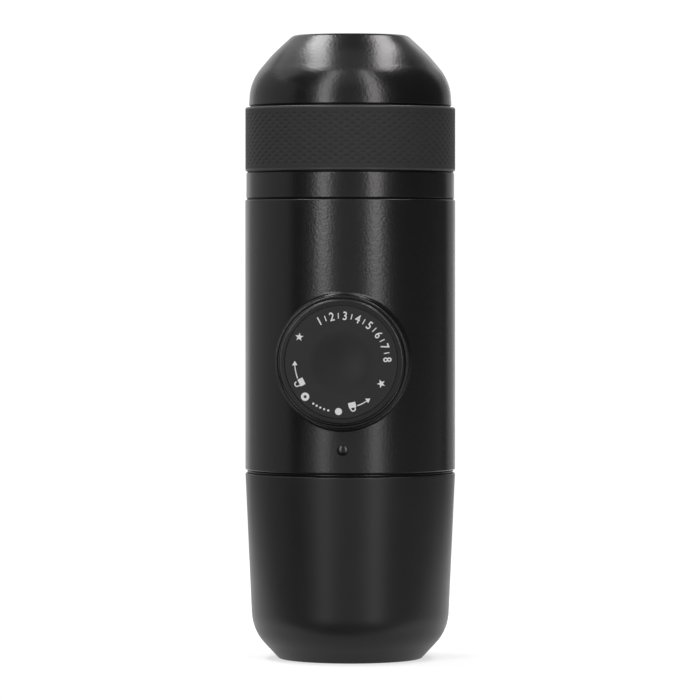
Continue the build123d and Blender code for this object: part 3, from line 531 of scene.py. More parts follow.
class Workshop:
    """Makes each finish once, turns shapes into pieces, and dresses the carried-over nodes."""

    def __init__(self) -> None:
        """Builds every finish."""
        self.materials = {stock: finish.build() for stock, finish in FINISHES.items()}
        self.ink = MARK_INK.build()
        self.seam_painted_shade = SEAM_PAINTED_SHADE.build()
        self.gap_painted_shade = GAP_PAINTED_SHADE.build()

    def piece(
        self,
        name: str,
        shape: "Shape",
        body: Body | None,
        stock: Stock | None,
        stands_for: Sequence[str] = (),
        sharp: float = 40.0,
        finish: bpy.types.Material | None = None,
    ) -> bpy.types.Object:
        """Makes a finished object of a shape.

        Args:
            name: The piece's name.
            shape: Its surface in millimetres.
            body: The body that it rides on; none leaves it unattached.
            stock: Its material slot; none means the print ink.
            stands_for: CAD nodes that it replaces.
            sharp: Edges that bend more than this many degrees stay sharp.
            finish: A finish of its own, in place of the stock's.
        Returns:
            The object.
        """
        mesh = shape.to_mesh(name, sharp)
        thing = put(name, mesh)
        mesh.materials.append(finish or (self.materials[stock] if stock else self.ink))
        if body:
            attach(thing, body.value)
        if stands_for:
            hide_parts(*stands_for)
        log.info("piece %s: %d faces", name, len(mesh.polygons))
        return thing

    def smooth_copy(self, node: str, name: str, body: Body, stock: Stock) -> None:
        """Replaces a CAD node by a merged copy of its mesh, shaded smooth between sharp edges.

        Args:
            node: The CAD node to stand for, whose faces are all triangles.
            name: The copy's name.
            body: The body that it rides on.
            stock: Its material slot.
        """
        mesh = frame["nodes"][node].data
        triangles = read(mesh.loops, "vertex_index", 1, int).reshape(-1, 3)
        shape = Shape([read(mesh.vertices, "co") / MM], triangles.tolist())
        self.piece(name, shape, body, stock, [node], sharp=30.0)

    def dress_nodes(self) -> None:
        """Gives each carried-over CAD node the finish of its material slot."""
        slots = {part["node"]: part["material_slot"] for part in frame["record"]["subparts"]}
        for name, node in frame["nodes"].items():
            if node.hide_render:
                continue
            for place in node.material_slots:
                place.link = "OBJECT"
                place.material = self.materials[Stock(slots[name])]
            log.info("node %s: %s", name, slots[name])


# ---------------------------------------------------------------- surfaces
def read(
    items: bpy.types.bpy_prop_collection, name: str, width: int = 3, kind: type = float
) -> Array:
    """Reads one property of every item.

    Args:
        items: Vertices, loops or normals of a mesh.
        name: The property's name.
        width: Numbers for each item.
        kind: The numbers' type.
    Returns:
        A row for each item.
    """
    values = np.empty(len(items) * width, kind)
    items.foreach_get(name, values)
    return values.reshape(-1, width)


def xyz(x: Numbers, y: Numbers, z: Numbers) -> Array:
    """Points from their coordinates, spread over one grid."""
    return np.stack(np.broadcast_arrays(x, y, z), axis=-1)


def about_z(radius: Array, angle: Array, height: Array) -> Array:
    """Points about Z: (radius x cos angle, radius x sin angle, height)."""
    return xyz(radius * np.cos(angle), radius * np.sin(angle), height)


def tan_degrees(degrees: float) -> float:
    """The tangent of an angle."""
    return math.tan(math.radians(degrees))


def full_turn(steps: int) -> Array:
    """Angles spaced evenly over a full turn, which the first closes."""
    return np.linspace(0.0, 2 * np.pi, steps, endpoint=False)


def arc(
    centre: Pair, reach: Pair | float, steps: int, start: float = 0.0, end: float = 360.0
) -> Array:
    """Points on an arc.

    Formula: centre + reach x (cos a, sin a) for angles a from start to end in degrees, where
    the reach along each axis may differ. A full turn's last point is a step short of its first.
    """
    a = np.radians(np.linspace(start, end, steps, endpoint=end - start < 360.0))
    return np.stack([np.cos(a), np.sin(a)], axis=-1) * reach + centre


def between(first: Numbers, last: Numbers, shares: Sequence[float]) -> Array:
    """Rows that go from one row of values to another: first x (1 - s) + last x s."""
    s = np.array(shares)[:, None]
    return first * (1 - s) + last * s


@dataclass
class Shape:
    """A surface in the making: grids and flat faces, in millimetres, welded where they meet."""

    points: list[Array] = field(default_factory=list)
    faces: list[list[int]] = field(default_factory=list)
    count: int = 0
    round_r: float = 0.0

    def keep(self, points: Array) -> int:
        """Stores points.

        Args:
            points: Points in any arrangement.
        Returns:
            The number of the first.
        """
        first = self.count
        self.points.append(points.reshape(-1, 3))
        self.count += len(self.points[-1])
        return first

    def grid(self, grid: Array, wrap_rows: bool = False, wrap_columns: bool = False) -> None:
        """Adds a grid of points as quads.

        Args:
            grid: Points by row and column.
            wrap_rows: Joins the last row to the first.
            wrap_columns: Joins the last column to the first.
        """
        rows, columns = grid.shape[:2]
        row = np.arange(rows if wrap_rows else rows - 1)[:, None]
        column = np.arange(columns if wrap_columns else columns - 1)
        next_row, next_column = (row + 1) % rows * columns, (column + 1) % columns
        row = row * columns
        corners = [row + column, row + next_column, next_row + next_column, next_row + column]
        quads = np.stack(corners, axis=-1).reshape(-1, 4) + self.keep(grid)
        self.faces.extend(quads.tolist())

    def flat(self, outline: Array) -> None:
        """Adds one flat face with this outline."""
        first = self.keep(outline)
        self.faces.append(list(range(first, first + len(outline))))

    def turned(self, profile: Array, segments: int = 192) -> "Shape":
        """Adds a closed profile turned about Z.

        Formula: a profile point at radius r and height z goes to (r cos t, r sin t, z) for
        angles t that are spaced evenly over a full turn.

        Args:
            profile: Radius and height of each point round the closed profile.
            segments: Steps in a full turn.
        Returns:
            The shape itself.
        """
        surface = about_z(profile[:, :1], full_turn(segments), profile[:, 1:])
        self.grid(surface, wrap_rows=True, wrap_columns=True)
        return self

    def facing_front(self, height: float) -> "Shape":
        """Turns the surface from Z to an axis out of the front, and returns it.

        Formula: (x, y, z) goes to (x, -z, height + y), so up the shape becomes towards -Y.
        """
        self.points = [xyz(p[:, 0], -p[:, 2], height + p[:, 1]) for p in self.points]
        return self

    def to_mesh(self, name: str, sharp: float) -> bpy.types.Mesh:
        """Welds the surface, points its faces outwards and shades it smooth between sharp edges.

        Where round_r is set, points on the upright cylinder of that radius get its exact
        normals: the direction away from Z.

        Args:
            name: The mesh's name.
            sharp: Edges that bend more than this many degrees stay sharp.
        Returns:
            The mesh, in metres.
        """
        mesh = bpy.data.meshes.new(name)
        mesh.from_pydata((np.concatenate(self.points) * MM).tolist(), [], self.faces)
        work = bmesh.new()
        work.from_mesh(mesh)
        bmesh.ops.remove_doubles(work, verts=work.verts, dist=WELD)
        bmesh.ops.dissolve_degenerate(work, edges=work.edges, dist=SLIVER)
        bmesh.ops.recalc_face_normals(work, faces=work.faces)
        work.to_mesh(mesh)
        work.free()
        mesh.polygons.foreach_set("use_smooth", np.ones(len(mesh.polygons), bool))
        mesh.set_sharp_from_angle(angle=math.radians(sharp))
        if self.round_r:
            self.true_up(mesh)
        mesh.update()
        return mesh

    def true_up(self, mesh: bpy.types.Mesh) -> None:
        """Stores exact normals at the corners that lie on the round wall and face outwards.

        Args:
            mesh: The mesh, in metres.
        """
        corner = read(mesh.loops, "vertex_index", 1, int)[:, 0]
        normal = read(mesh.corner_normals, "vector")
        out = read(mesh.vertices, "co")[corner] * LEVEL
        radius = np.linalg.norm(out, axis=1)
        out /= np.maximum(radius, 1e-9)[:, None]
        on_radius = np.abs(radius - self.round_r * MM) < WELD
        on_wall = on_radius & ((out * normal).sum(1) > OUTWARD)
        mesh.normals_split_custom_set(np.where(on_wall[:, None], out, normal).tolist())


def rounded(corners: Sequence[Triple], step: float = 7.0) -> Array:
    """A closed outline whose corners are rounded.

    Formula: a corner of radius q, whose two sides open by an angle a, becomes an arc about the
    point q / sin(a / 2) along the bisector, tangent q / tan(a / 2) from the corner. A point is
    held a little way before and after each arc, so that shading stays flat between arcs.

    Args:
        corners: Radius, height and rounding of each corner, in order.
        step: Largest turn between points of an arc, in degrees.
    Returns:
        Radius and height of each point.
    """
    places = np.array([corner[:2] for corner in corners], float)
    outline = []
    for k, (here, (_, _, q)) in enumerate(zip(places, corners)):
        before, after = places[k - 1] - here, places[(k + 1) % len(places)] - here
        a, b = before / np.linalg.norm(before), after / np.linalg.norm(after)
        opening = math.acos(np.clip(a @ b, -1.0, 1.0))
        if q == 0.0 or abs(opening - math.pi) < 1e-4:
            outline.append(here[None, :])
            continue
        tangent = q / math.tan(opening / 2)
        centre = here + (a + b) / np.linalg.norm(a + b) * q / math.sin(opening / 2)
        turn = math.pi - opening
        steps = max(3, math.ceil(math.degrees(turn) / step))
        share = np.linspace(0.0, 1.0, steps + 1)[:, None]
        start, end = here + a * tangent - centre, here + b * tangent - centre
        bow = (np.sin((1 - share) * turn) * start + np.sin(share * turn) * end) / math.sin(turn)
        near = tangent + min(HELD, 0.5 * q)
        outline.append(np.array([here + a * near, *(centre + bow), here + b * near]))
    return np.concatenate(outline)


# ---------------------------------------------------------------- sub-assemblies
@dataclass
class WaterTank:
    """The outer shell of the water tank: flared foot, large knuckle, tapered wall."""

    top_r: float = 29.5
    height: float = 52.2
    draft_height: float = 52.4
    foot_r: float = 20.1
    flare: float = 43.1
    draft: float = 2.57
    knuckle: float = 13.5
    foot_edge: float = 0.8
    edge: float = 0.45
    inner_edge: float = 0.12
    wall: float = 2.0
    floor: float = 2.2
    flange: float = 2.0
    ledge: float = 1.2

    def corners(self, inset: float) -> list[Pair]:
        """Foot, knuckle and top corners of the outline, taken in by an inset.

        Args:
            inset: Distance from the outer surface, in mm.
        Returns:
            Radius and height of each corner.
        """
        draft, flare = tan_degrees(self.draft), tan_degrees(self.flare)
        foot = self.foot_r - inset / math.cos(math.radians(self.flare))
        top = self.top_r - inset / math.cos(math.radians(self.draft))
        knuckle_z = (top - self.draft_height * draft - foot) / (flare - draft)
        return [(foot, 0.0), (foot + knuckle_z * flare, knuckle_z), (top, self.height)]

    def build(self, shop: Workshop) -> None:
        """Makes the shell as one closed profile turned about Z.

        Args:
            shop: The workshop that finishes the pieces.
        """
        foot, knuckle, top = self.corners(0.0)
        foot_in, knuckle_in, top_in = self.corners(self.wall)
        floor_r = foot_in[0] + self.floor * tan_degrees(self.flare)
        ledge_z = self.height - self.flange
        wall_r = top_in[0] - 2.0 * self.flange * tan_degrees(self.draft)
        profile = [
            (0.0, 0.0, 0.0),
            (*foot, self.foot_edge),
            (*knuckle, self.knuckle),
            (*top, self.edge),
            (*top_in, self.inner_edge),
            (top_in[0], ledge_z, 0.0),
            (wall_r - self.ledge, ledge_z, 0.0),
            (wall_r - self.ledge, ledge_z - self.flange, 0.0),
            (wall_r, ledge_z - self.flange, 0.0),
            (*knuckle_in, self.knuckle - self.wall),
            (floor_r, self.floor, 0.0),
            (0.0, self.floor, 0.0),
        ]
        shape = Shape().turned(rounded(profile, 4.0))
        shop.piece("tank_outer_shell", shape, Body.TANK, Stock.TANK, ["tank_shell"])


@dataclass
class Casing:
    """The main body's casing: a round wall, a raised boss with a rolled foot, and a bump.

    The shares say where rows of points lie along each stretch of the wall and of the boss.
    """

    radius: float = BODY_R
    wall: float = 2.0
    bottom: float = 53.08
    top: float = 128.88
    edge: float = 0.40
    lip_r: float = 26.6
    lip_height: float = 2.0
    guide_r: float = 17.6
    boss_r: float = 18.3
    boss_reach: float = 33.5
    boss_edge: float = 0.3
    guide_edge: float = 0.1
    boss_fillet: float = 1.3
    patch_angle: float = 66.0
    bump_r: float = 3.1
    bump_height: float = 0.32
    front_steps: int = 264
    back_steps: int = 132
    inside_shares: tuple[float, ...] = (0.0, 0.5, 0.85, 0.97, 1.0)
    guide_shares: tuple[float, ...] = (0.03, 0.5, 0.97, 1.0)
    boss_shares: tuple[float, ...] = (0.06, 0.5, 0.94)
    outside_shares: tuple[float, ...] = (0.008, 0.025, 0.06, 0.12, 0.2, 0.32, 0.48, 0.7, 1.0)

    def wall_points(self, radius: Numbers, angle: Array, height: Array) -> Array:
        """Points on an upright cylinder; angle 0 faces -Y and grows towards +X."""
        return xyz(radius * np.sin(angle), -radius * np.cos(angle), height)

    def ring_round_boss(self, rho: Numbers, reach: Array, turn: Array) -> Array:
        """Points at a distance rho from the piston's axis and a reach from the body's axis."""
        return xyz(rho * np.sin(turn), -reach, PISTON_Z + rho * np.cos(turn))

    def frame_of_patch(self) -> tuple[Array, Array, Array]:
        """Where rays from the piston's axis meet the patch's square frame on the wall.

        Formula: in the unrolled wall a ray at angle t from up meets the frame at the lesser of
        half the width over |sin t| and the height over |cos t|. The rays are spaced evenly
        between the frame's corners.

        Returns:
            The rays' angles, and the angle round the body and the height of each meeting point.
        """
        half = self.radius * math.radians(self.patch_angle)
        up = self.top - self.edge - PISTON_Z
        down = PISTON_Z - self.bottom - self.edge
        upper, lower = math.atan2(half, up), math.pi - math.atan2(half, down)
        stops = [-upper, upper, lower, 2 * math.pi - lower, 2 * math.pi - upper]
        spans = [
            np.linspace(a, b, round(self.front_steps * (b - a) / (2 * math.pi)), endpoint=False)
            for a, b in zip(stops, stops[1:])
        ]
        turn = np.concatenate(spans)
        tall = np.where(np.cos(turn) > 0, up, down) / np.maximum(np.abs(np.cos(turn)), 1e-9)
        reach = np.minimum(half / np.maximum(np.abs(np.sin(turn)), 1e-9), tall)
        return turn, reach * np.sin(turn) / self.radius, PISTON_Z + reach * np.cos(turn)

    def lower_in(self, height: Array) -> Array:
        """Height inside the wall that answers to a height outside, clear of the top lip.

        Args:
            height: Height on the outside.
        Returns:
            The height inside.
        """
        low, high = self.bottom + self.edge, self.top - self.edge
        inner_high = self.top - self.lip_height - 0.5
        return low + (height - low) * (inner_high - low) / (high - low)

    def patch(self) -> tuple[Array, Array, Array]:
        """Rows from the frame inside the wall, out through the boss, to the frame outside.

        Formula: the boss's foot is the path of a ball of the fillet's radius that rolls on the
        wall and the boss. Its centre lies fillet + radius from Z and fillet + boss radius from
        the piston's axis, and each row turns evenly from the boss's side to the wall.

        Returns:
            The grid, and the frame's angles and heights.
        """
        turn, frame_angle, frame_z = self.frame_of_patch()
        inner_r, ball = self.radius - self.wall, self.boss_fillet
        hole_x, hole_z = self.guide_r * np.sin(turn), PISTON_Z + self.guide_r * np.cos(turn)
        inside = self.wall_points(
            inner_r,
            between(frame_angle, np.arcsin(hole_x / inner_r), self.inside_shares),
            between(self.lower_in(frame_z), hole_z, self.inside_shares),
        )
        start, end = np.sqrt(inner_r**2 - hole_x**2), self.boss_reach - self.guide_edge
        guide_reach = between(start, end, self.guide_shares)
        guide = self.ring_round_boss(self.guide_r, guide_reach, turn)
        roll = (-self.guide_edge, self.guide_edge)
        mouth = arc((self.guide_r + self.guide_edge, end), roll, 6, 15.0, 90.0)
        edge_r, edge_reach = self.boss_r - self.boss_edge, self.boss_reach - self.boss_edge
        rim = arc((edge_r, edge_reach), self.boss_edge, 7, 90.0, 0.0)
        rows = np.concatenate([mouth, rim])
        face = self.ring_round_boss(rows[:, :1], rows[:, 1:], turn)
        centre_x = (self.boss_r + ball) * np.sin(turn)
        centre_reach = np.sqrt((self.radius + ball) ** 2 - centre_x**2)
        side_reach = between(edge_reach, centre_reach, self.boss_shares)
        side = self.ring_round_boss(self.boss_r, side_reach, turn)
        centre = self.ring_round_boss(self.boss_r + ball, centre_reach, turn)
        to_boss = xyz(-np.sin(turn), 0.0, -np.cos(turn))
        to_wall = -centre * LEVEL / (self.radius + ball)
        angle = np.arccos((to_boss * to_wall).sum(-1))[:, None]
        s = np.linspace(0.0, 1.0, 11)[:, None, None]
        way = np.sin((1 - s) * angle) * to_boss + np.sin(s * angle) * to_wall
        fillet = centre + ball * way / np.sin(angle)
        foot_angle = np.arctan2(centre[:, 0], -centre[:, 1])
        outside = self.wall_points(
            self.radius,
            between(foot_angle, frame_angle, self.outside_shares),
            between(centre[:, 2], frame_z, self.outside_shares),
        )
        grid = np.concatenate([inside, guide, face, side, fillet, outside])
        return grid, frame_angle, frame_z

    def build(self, shop: Workshop) -> None:
        """Joins the patch round the boss, the plain wall behind it, and the rolled ends.

        Args:
            shop: The workshop that finishes the pieces.
        """
        shape = Shape(round_r=self.radius)
        patch, frame_angle, frame_z = self.patch()
        shape.grid(patch, wrap_columns=True)
        side = math.radians(self.patch_angle)
        heights = np.sort(frame_z[np.abs(frame_angle - side) < NEAR])[:, None]
        back = np.linspace(side, 2 * math.pi - side, self.back_steps + 1)
        shape.grid(self.wall_points(self.radius, back, heights))
        shape.grid(self.wall_points(self.radius - self.wall, back, self.lower_in(heights)))
        ends = ((heights[-1], self.top_profile()), (heights[0], self.foot_profile()))
        for height, profile in ends:
            on_edge = np.sort(frame_angle[np.abs(frame_z - height) < NEAR])
            angles = np.concatenate([on_edge, back[1:-1]])
            rows = self.wall_points(profile[:, :1], angles, profile[:, 1:])
            shape.grid(rows, wrap_columns=True)
        shape.grid(self.bump())
        shop.piece("body_casing", shape, Body.MAIN, Stock.BODY, ["body_shell"], sharp=50.0)

    def top_profile(self) -> Array:
        """Rolled top edge, top face and inner lip, from the wall outside to the wall inside.

        Returns:
            Radius and height of each row.
        """
        low, lip_z = self.top - self.edge, self.top - self.lip_height
        inner_r = self.radius - self.wall
        roll = arc((self.radius - self.edge, low), self.edge, 8, 0.0, 90.0)
        lip = [(self.lip_r + 0.3, self.top), (self.lip_r, self.top), (self.lip_r, lip_z)]
        return np.concatenate([roll, lip, [(inner_r, lip_z), (inner_r, lip_z - 0.5)]])

    def foot_profile(self) -> Array:
        """Rolled foot edge and foot face, from the wall outside to the wall inside.

        Returns:
            Radius and height of each row.
        """
        high, inner_r = self.bottom + self.edge, self.radius - self.wall
        roll = arc((self.radius - self.edge, high), (self.edge, -self.edge), 8, 0.0, 90.0)
        face = [(inner_r + 0.2, self.bottom), (inner_r, self.bottom), (inner_r, high)]
        return np.concatenate([roll, face])

    def bump(self) -> Array:
        """The lock's index bump, the cap of a ball let into the wall.

        Formula: centre + radius x (sin a sin b, -cos a, sin a cos b), with a from the front pole
        up to half a right angle.

        Returns:
            The cap's grid of points.
        """
        a = np.linspace(0.0, np.pi / 4, 25)[:, None]
        b = np.linspace(0.0, 2 * np.pi, 49)
        reach = self.radius + self.bump_height - self.bump_r + self.bump_r * np.cos(a)
        across = self.bump_r * np.sin(a)
        return xyz(across * np.sin(b), -reach, BUMP_Z + across * np.cos(b))


@dataclass
class PistonKnob:
    """The round knob's cap and its face disc, with a soft dish for the thumb."""

    disc_r: float = 15.5
    disc_back: float = 33.8
    disc_face: float = DISC_FACE
    disc_edge: float = 0.09
    disc_roughness: float = 0.42
    dish_r: float = 8.4
    dish_rim: float = 1.5
    dish_depth: float = 0.38
    dish_painted_shade: float = 0.30

    def disc_profile(self) -> Array:
        """Closed profile of the disc: radius and reach.

        Formula: the dish is depth x (1 - s)^2 (1 + 2 s) deep, where s is the radius over the
        dish's radius, so it runs level at its middle and at its rim.

        Returns:
            Radius and reach of each point.
        """
        corners = [
            (0.0, self.disc_back, 0.0),
            (self.disc_r, self.disc_back, 0.0),
            (self.disc_r, self.disc_face, self.disc_edge),
            (self.dish_r + self.dish_rim, self.disc_face, 0.0),
        ]
        s = np.linspace(1.0, 0.0, 28)
        reach = self.disc_face - self.dish_depth * (1 - s) ** 2 * (1 + 2 * s)
        return np.concatenate([rounded(corners), np.stack([s * self.dish_r, reach], -1)])

    def build(self, shop: Workshop) -> None:
        """Makes the disc, and a smooth copy of the cap.

        Args:
            shop: The workshop that finishes the pieces.
        """
        disc = Shape().turned(self.disc_profile(), 128).facing_front(PISTON_Z)
        # The disc's finish darkens the whole dish with painted shade.
        finish = replace(
            FINISHES[Stock.KNOB],
            name="Knob_disc_matt_black",
            roughness=self.disc_roughness,
            dish_wear_and_painted_shade=((0.0, 0.0, PISTON_Z), self.dish_r, self.dish_painted_shade),
        ).build()
        shop.piece("thumb_disc", disc, Body.KNOB, Stock.KNOB, ["knob_disc"], finish=finish)
        shop.smooth_copy("knob_cap", "knob_skirt_cap", Body.KNOB, Stock.KNOB)


@dataclass
class KnobMarks:
    """Marks printed on the knob's disc: lock dots, stars, padlocks and a numbered scale.

    Places round the disc are degrees clockwise from the top, as seen from the front.
    """

    back: float = DISC_FACE - 0.01
    thickness: float = 0.03
    track_r: float = 13.7
    dot_r: float = 0.98
    dot_at: Pair = (13.55, 183.0)
    ring_r: Pair = (0.42, 1.15)
    ring_at: float = 226.2
    small_dot_r: float = 0.30
    small_dots_at: tuple[float, ...] = (194.9, 199.9, 204.6, 209.3, 213.9)
    star_r: float = 1.25
    star_waist: float = 0.39
    stars_at: tuple[Triple, ...] = ((13.4, -59.0, 6.0), (12.5, 118.0, -4.0))
    scale_r: float = 12.75
    digits: str = "12345678"
    digit_height: float = 2.35
    digit_width: float = 0.86
    digit_weight: float = 0.012
    first_digit: float = -28.0
    first_tick: float = -19.8
    pitch: float = 16.4
    tick_size: Pair = (0.13, 0.75)
    case_half: float = 1.02
    case_span: Pair = (-1.35, 0.15)
    shackle_r: Pair = (0.46, 0.78)
    shackle_z: float = 0.45
    shackle_lift: float = 0.32
    leg_gap: float = 0.5
    shaft_half: float = 0.14
    shaft_end: float = 5.0
    head_half: float = 0.75
    head_end: float = 5.4
    locks_at: tuple[tuple[float, bool, float, float], ...] = (
        (243.5, True, 249.5, 271.5),
        (165.5, False, 159.5, 141.0),
    )
    shape: Shape = field(default_factory=Shape)

    def at(self, flat: Array, radius: Numbers, degrees: Numbers) -> Array:
        """Carries a flat outline to its place on the disc.

        Formula: the outline's up points away from the disc's centre. With out the distance
        plus y, the point is (out sin a + x cos a, axis + out cos a - x sin a).

        Args:
            flat: Points (x, y) in mm.
            radius: Distance of the origin from the centre.
            degrees: Place round the disc.
        Returns:
            Points (x, z) on the disc.
        """
        a = np.radians(degrees)
        out = radius + flat[..., 1]
        x = out * np.sin(a) + flat[..., 0] * np.cos(a)
        z = PISTON_Z + out * np.cos(a) - flat[..., 0] * np.sin(a)
        return np.stack([x, z], axis=-1)

    def print_outline(self, flat: Array, radius: Numbers, degrees: Numbers) -> None:
        """Adds a thin raised plate of ink.

        Args:
            flat: Its outline, (x, y) points in mm.
            radius: Distance of their origin from the disc's centre.
            degrees: Its place round the disc.
        """
        outline = self.at(flat, radius, degrees)
        reach = np.array([[self.back], [self.back + self.thickness]])
        ring = xyz(outline[:, 0], -reach, outline[:, 1])
        self.shape.grid(ring, wrap_columns=True)
        self.shape.flat(ring[1])
        self.shape.flat(ring[0][::-1])

    def print_band(
        self, inner: Array, outer: Array, radius: float, degrees: Numbers, closed: bool = False
    ) -> None:
        """Adds a thin raised band of ink between two rows of points.

        Args:
            inner: One side of the band, (x, y) points in mm.
            outer: Its other side.
            radius: Distance of their origin from the disc's centre.
            degrees: Their place round the disc.
            closed: Joins the band's end to its start.
        """
        inner, outer = (self.at(side, radius, degrees) for side in (inner, outer))
        low, high = self.back, self.back + self.thickness
        loop = [(inner, high), (outer, high), (outer, low), (inner, low)]
        rows = np.stack([xyz(side[:, 0], -reach, side[:, 1]) for side, reach in loop])
        self.shape.grid(rows, wrap_rows=True, wrap_columns=closed)
        if not closed:
            self.shape.flat(rows[:, 0])
            self.shape.flat(rows[:, -1])

    def print_box(self, half: float, bottom: float, top: float, degrees: float) -> None:
        """Adds an upright rectangle on the scale, from half its width, its foot and its head."""
        box = np.array([(-half, bottom), (half, bottom), (half, top), (-half, top)])
        self.print_outline(box, self.scale_r, degrees)

    def lock_dots(self) -> None:
        """The filled dot, the ring, and the row of small dots between them."""
        self.print_outline(arc((0.0, 0.0), self.dot_r, 36), *self.dot_at)
        hole, ring = (arc((0.0, 0.0), radius, 36) for radius in self.ring_r)
        self.print_band(hole, ring, self.track_r, self.ring_at, closed=True)
        for degrees in self.small_dots_at:
            self.print_outline(arc((0.0, 0.0), self.small_dot_r, 20), self.track_r, degrees)

    def star(self, radius: float, degrees: float, lean: float) -> None:
        """A five-pointed star: ten points at two radii in turn.

        Args:
            radius: Distance of its middle from the disc's centre.
            degrees: Its place round the disc.
            lean: Degrees that it leans.
        """
        a = np.radians(90.0 + lean + 36.0 * np.arange(10))
        size = np.where(np.arange(10) % 2 == 0, self.star_r, self.star_r * self.star_waist)
        self.print_outline(np.stack([size * np.cos(a), size * np.sin(a)], -1), radius, degrees)

    def padlock(self, degrees: float, is_open: bool) -> None:
        """A padlock: a filled case and a shackle band.

        Args:
            degrees: Its place round the disc.
            is_open: Lifts the shackle and frees one of its legs.
        """
        self.print_box(self.case_half, *self.case_span, degrees)
        top = self.case_span[1]
        lift, gap = (self.shackle_lift, self.leg_gap) if is_open else (0.0, 0.0)
        sides = []
        for radius in self.shackle_r:
            bow = arc((0.0, self.shackle_z + lift), radius, 17, 0.0, 180.0)
            sides.append(np.concatenate([[(radius, top + gap)], bow, [(-radius, top)]]))
        self.print_band(*sides, self.scale_r, degrees)

    def arrow(self, start: float, end: float) -> None:
        """A curved arrow along the scale, from one place round the disc to another.

        Args:
            start: Where its shaft begins.
            end: Where its point lies.
        """
        way = math.copysign(1.0, end - start)
        sweep = np.linspace(start, end - way * self.shaft_end, 24)
        side = np.zeros((len(sweep), 2)) + (0.0, self.shaft_half)
        self.print_band(-side, side, self.scale_r, sweep)
        neck = end - way * self.head_end
        head = np.array([(0.0, -self.head_half), (0.0, self.head_half), (0.0, 0.0)])
        self.print_outline(head, self.scale_r, np.array([neck, neck, end]))

    def number(self, text: str, degrees: float) -> None:
        """A plain number of the scale, from the built-in typeface, centred on its place.

        Args:
            text: The number.
            degrees: Its place round the disc.
        """
        curve = bpy.data.curves.new("number", "FONT")
        curve.body, curve.align_x, curve.align_y = text, "CENTER", "CENTER"
        curve.size, curve.resolution_u, curve.offset = 1.0, 4, self.digit_weight
        curve.extrude = 0.5
        holder = bpy.data.objects.new("number", curve)
        mesh = bpy.data.meshes.new_from_object(holder)
        place = read(mesh.vertices, "co")
        low, high = place.min(0), place.max(0)
        size = self.digit_height / (high[1] - low[1])
        flat = (place - (high + low) / 2)[:, :2] * size * (self.digit_width, 1.0)
        on_disc = self.at(flat, self.scale_r, degrees)
        reach = self.back + np.where(place[:, 2] > 0, self.thickness, 0.0)
        first = self.shape.keep(xyz(on_disc[:, 0], -reach, on_disc[:, 1]))
        self.shape.faces.extend([[first + v for v in face.vertices] for face in mesh.polygons])
        bpy.data.objects.remove(holder)
        bpy.data.curves.remove(curve)
        bpy.data.meshes.remove(mesh)

    def build(self, shop: Workshop) -> None:
        """Prints every mark as one piece.

        Args:
            shop: The workshop that finishes the pieces.
        """
        self.lock_dots()
        for place in self.stars_at:
            self.star(*place)
        for k, digit in enumerate(self.digits):
            self.number(digit, self.first_digit + self.pitch * k)
        half, reach = self.tick_size
        for k in range(len(self.digits) - 1):
            self.print_box(half, -reach, reach, self.first_tick + self.pitch * k)
        for degrees, is_open, start, end in self.locks_at:
            self.padlock(degrees, is_open)
            self.arrow(start, end)
        shop.piece("knob_marks", self.shape, Body.KNOB, None, sharp=20.0)


@dataclass
class Coil:
    """A round-wire spring wound between two points on two bodies."""

    kind: str
    start: Triple
    end: Triple
    radius: float
    wire_r: float
    turns: float
    ends: tuple[Body, Body]
    per_turn: int = 40
    sides: int = 12
    flat_turns: float = 0.75
    cap_shares: Triple = (1.0, 0.7, 0.35)

    def build(self, shop: Workshop) -> None:
        """Makes the wire as a tube along a helix, closed at both ends by domes.

        Formula: the helix's point at a share s of its length is the axis point at s plus the
        radius times (cos, sin) of the turns x s. The last turn at each end lies flat, and the
        tube's section is a circle across the helix's direction that shrinks to a point.

        Args:
            shop: The workshop that finishes the pieces.
        """
        base, top = np.array(self.start), np.array(self.end)
        span = np.linalg.norm(top - base)
        axis = (top - base) / span
        side = np.array([1.0, 0.0, 0.0])
        s = np.linspace(0.0, 1.0, round(self.turns * self.per_turn))[:, None]
        climb = (s * self.turns - self.flat_turns) / (self.turns - 2 * self.flat_turns)
        along = self.wire_r + np.clip(climb, 0.0, 1.0) * (span - 2 * self.wire_r)
        a = 2 * np.pi * self.turns * s
        out = np.cos(a) * side + np.sin(a) * np.cross(axis, side)
        path = base + along * axis + self.radius * out
        ahead = np.gradient(path, axis=0)
        ahead /= np.linalg.norm(ahead, axis=1)[:, None]
        across = np.cross(ahead, out)
        cap = np.sqrt(1.0 - np.square(self.cap_shares))
        size = np.concatenate([cap, np.ones(len(s) - 2 * len(cap)), cap[::-1]]) * self.wire_r
        b = full_turn(self.sides)[:, None]
        ring = np.cos(b) * out[:, None, :] + np.sin(b) * across[:, None, :]
        shape = Shape()
        shape.grid(path[:, None, :] + size[:, None, None] * ring, wrap_columns=True)
        wire = shop.piece(f"{self.kind}_coil", shape, None, Stock.SPRING, [f"{self.kind}_spring"])
        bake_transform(wire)


def springs() -> list[Coil]:
    """The return spring of the knob and the two valve springs.

    Returns:
        The three coils.
    """
    back, front = (0.0, -2.02, PISTON_Z), (0.0, -31.28, PISTON_Z)
    coils = [Coil("return", back, front, 12.0, 0.55, 7.0, (Body.MAIN, Body.PISTON))]
    valve_y, valve_length = 18.0, 3.354
    valves = (("inlet", 71.426, Body.INLET_VALVE), ("outlet", 101.926, Body.OUTLET_VALVE))
    for kind, low, valve in valves:
        start, end = (0.0, valve_y, low), (0.0, valve_y, low + valve_length)
        coils.append(Coil(kind, start, end, 1.7, 0.18, 3.5, (valve, Body.MAIN)))
    return coils


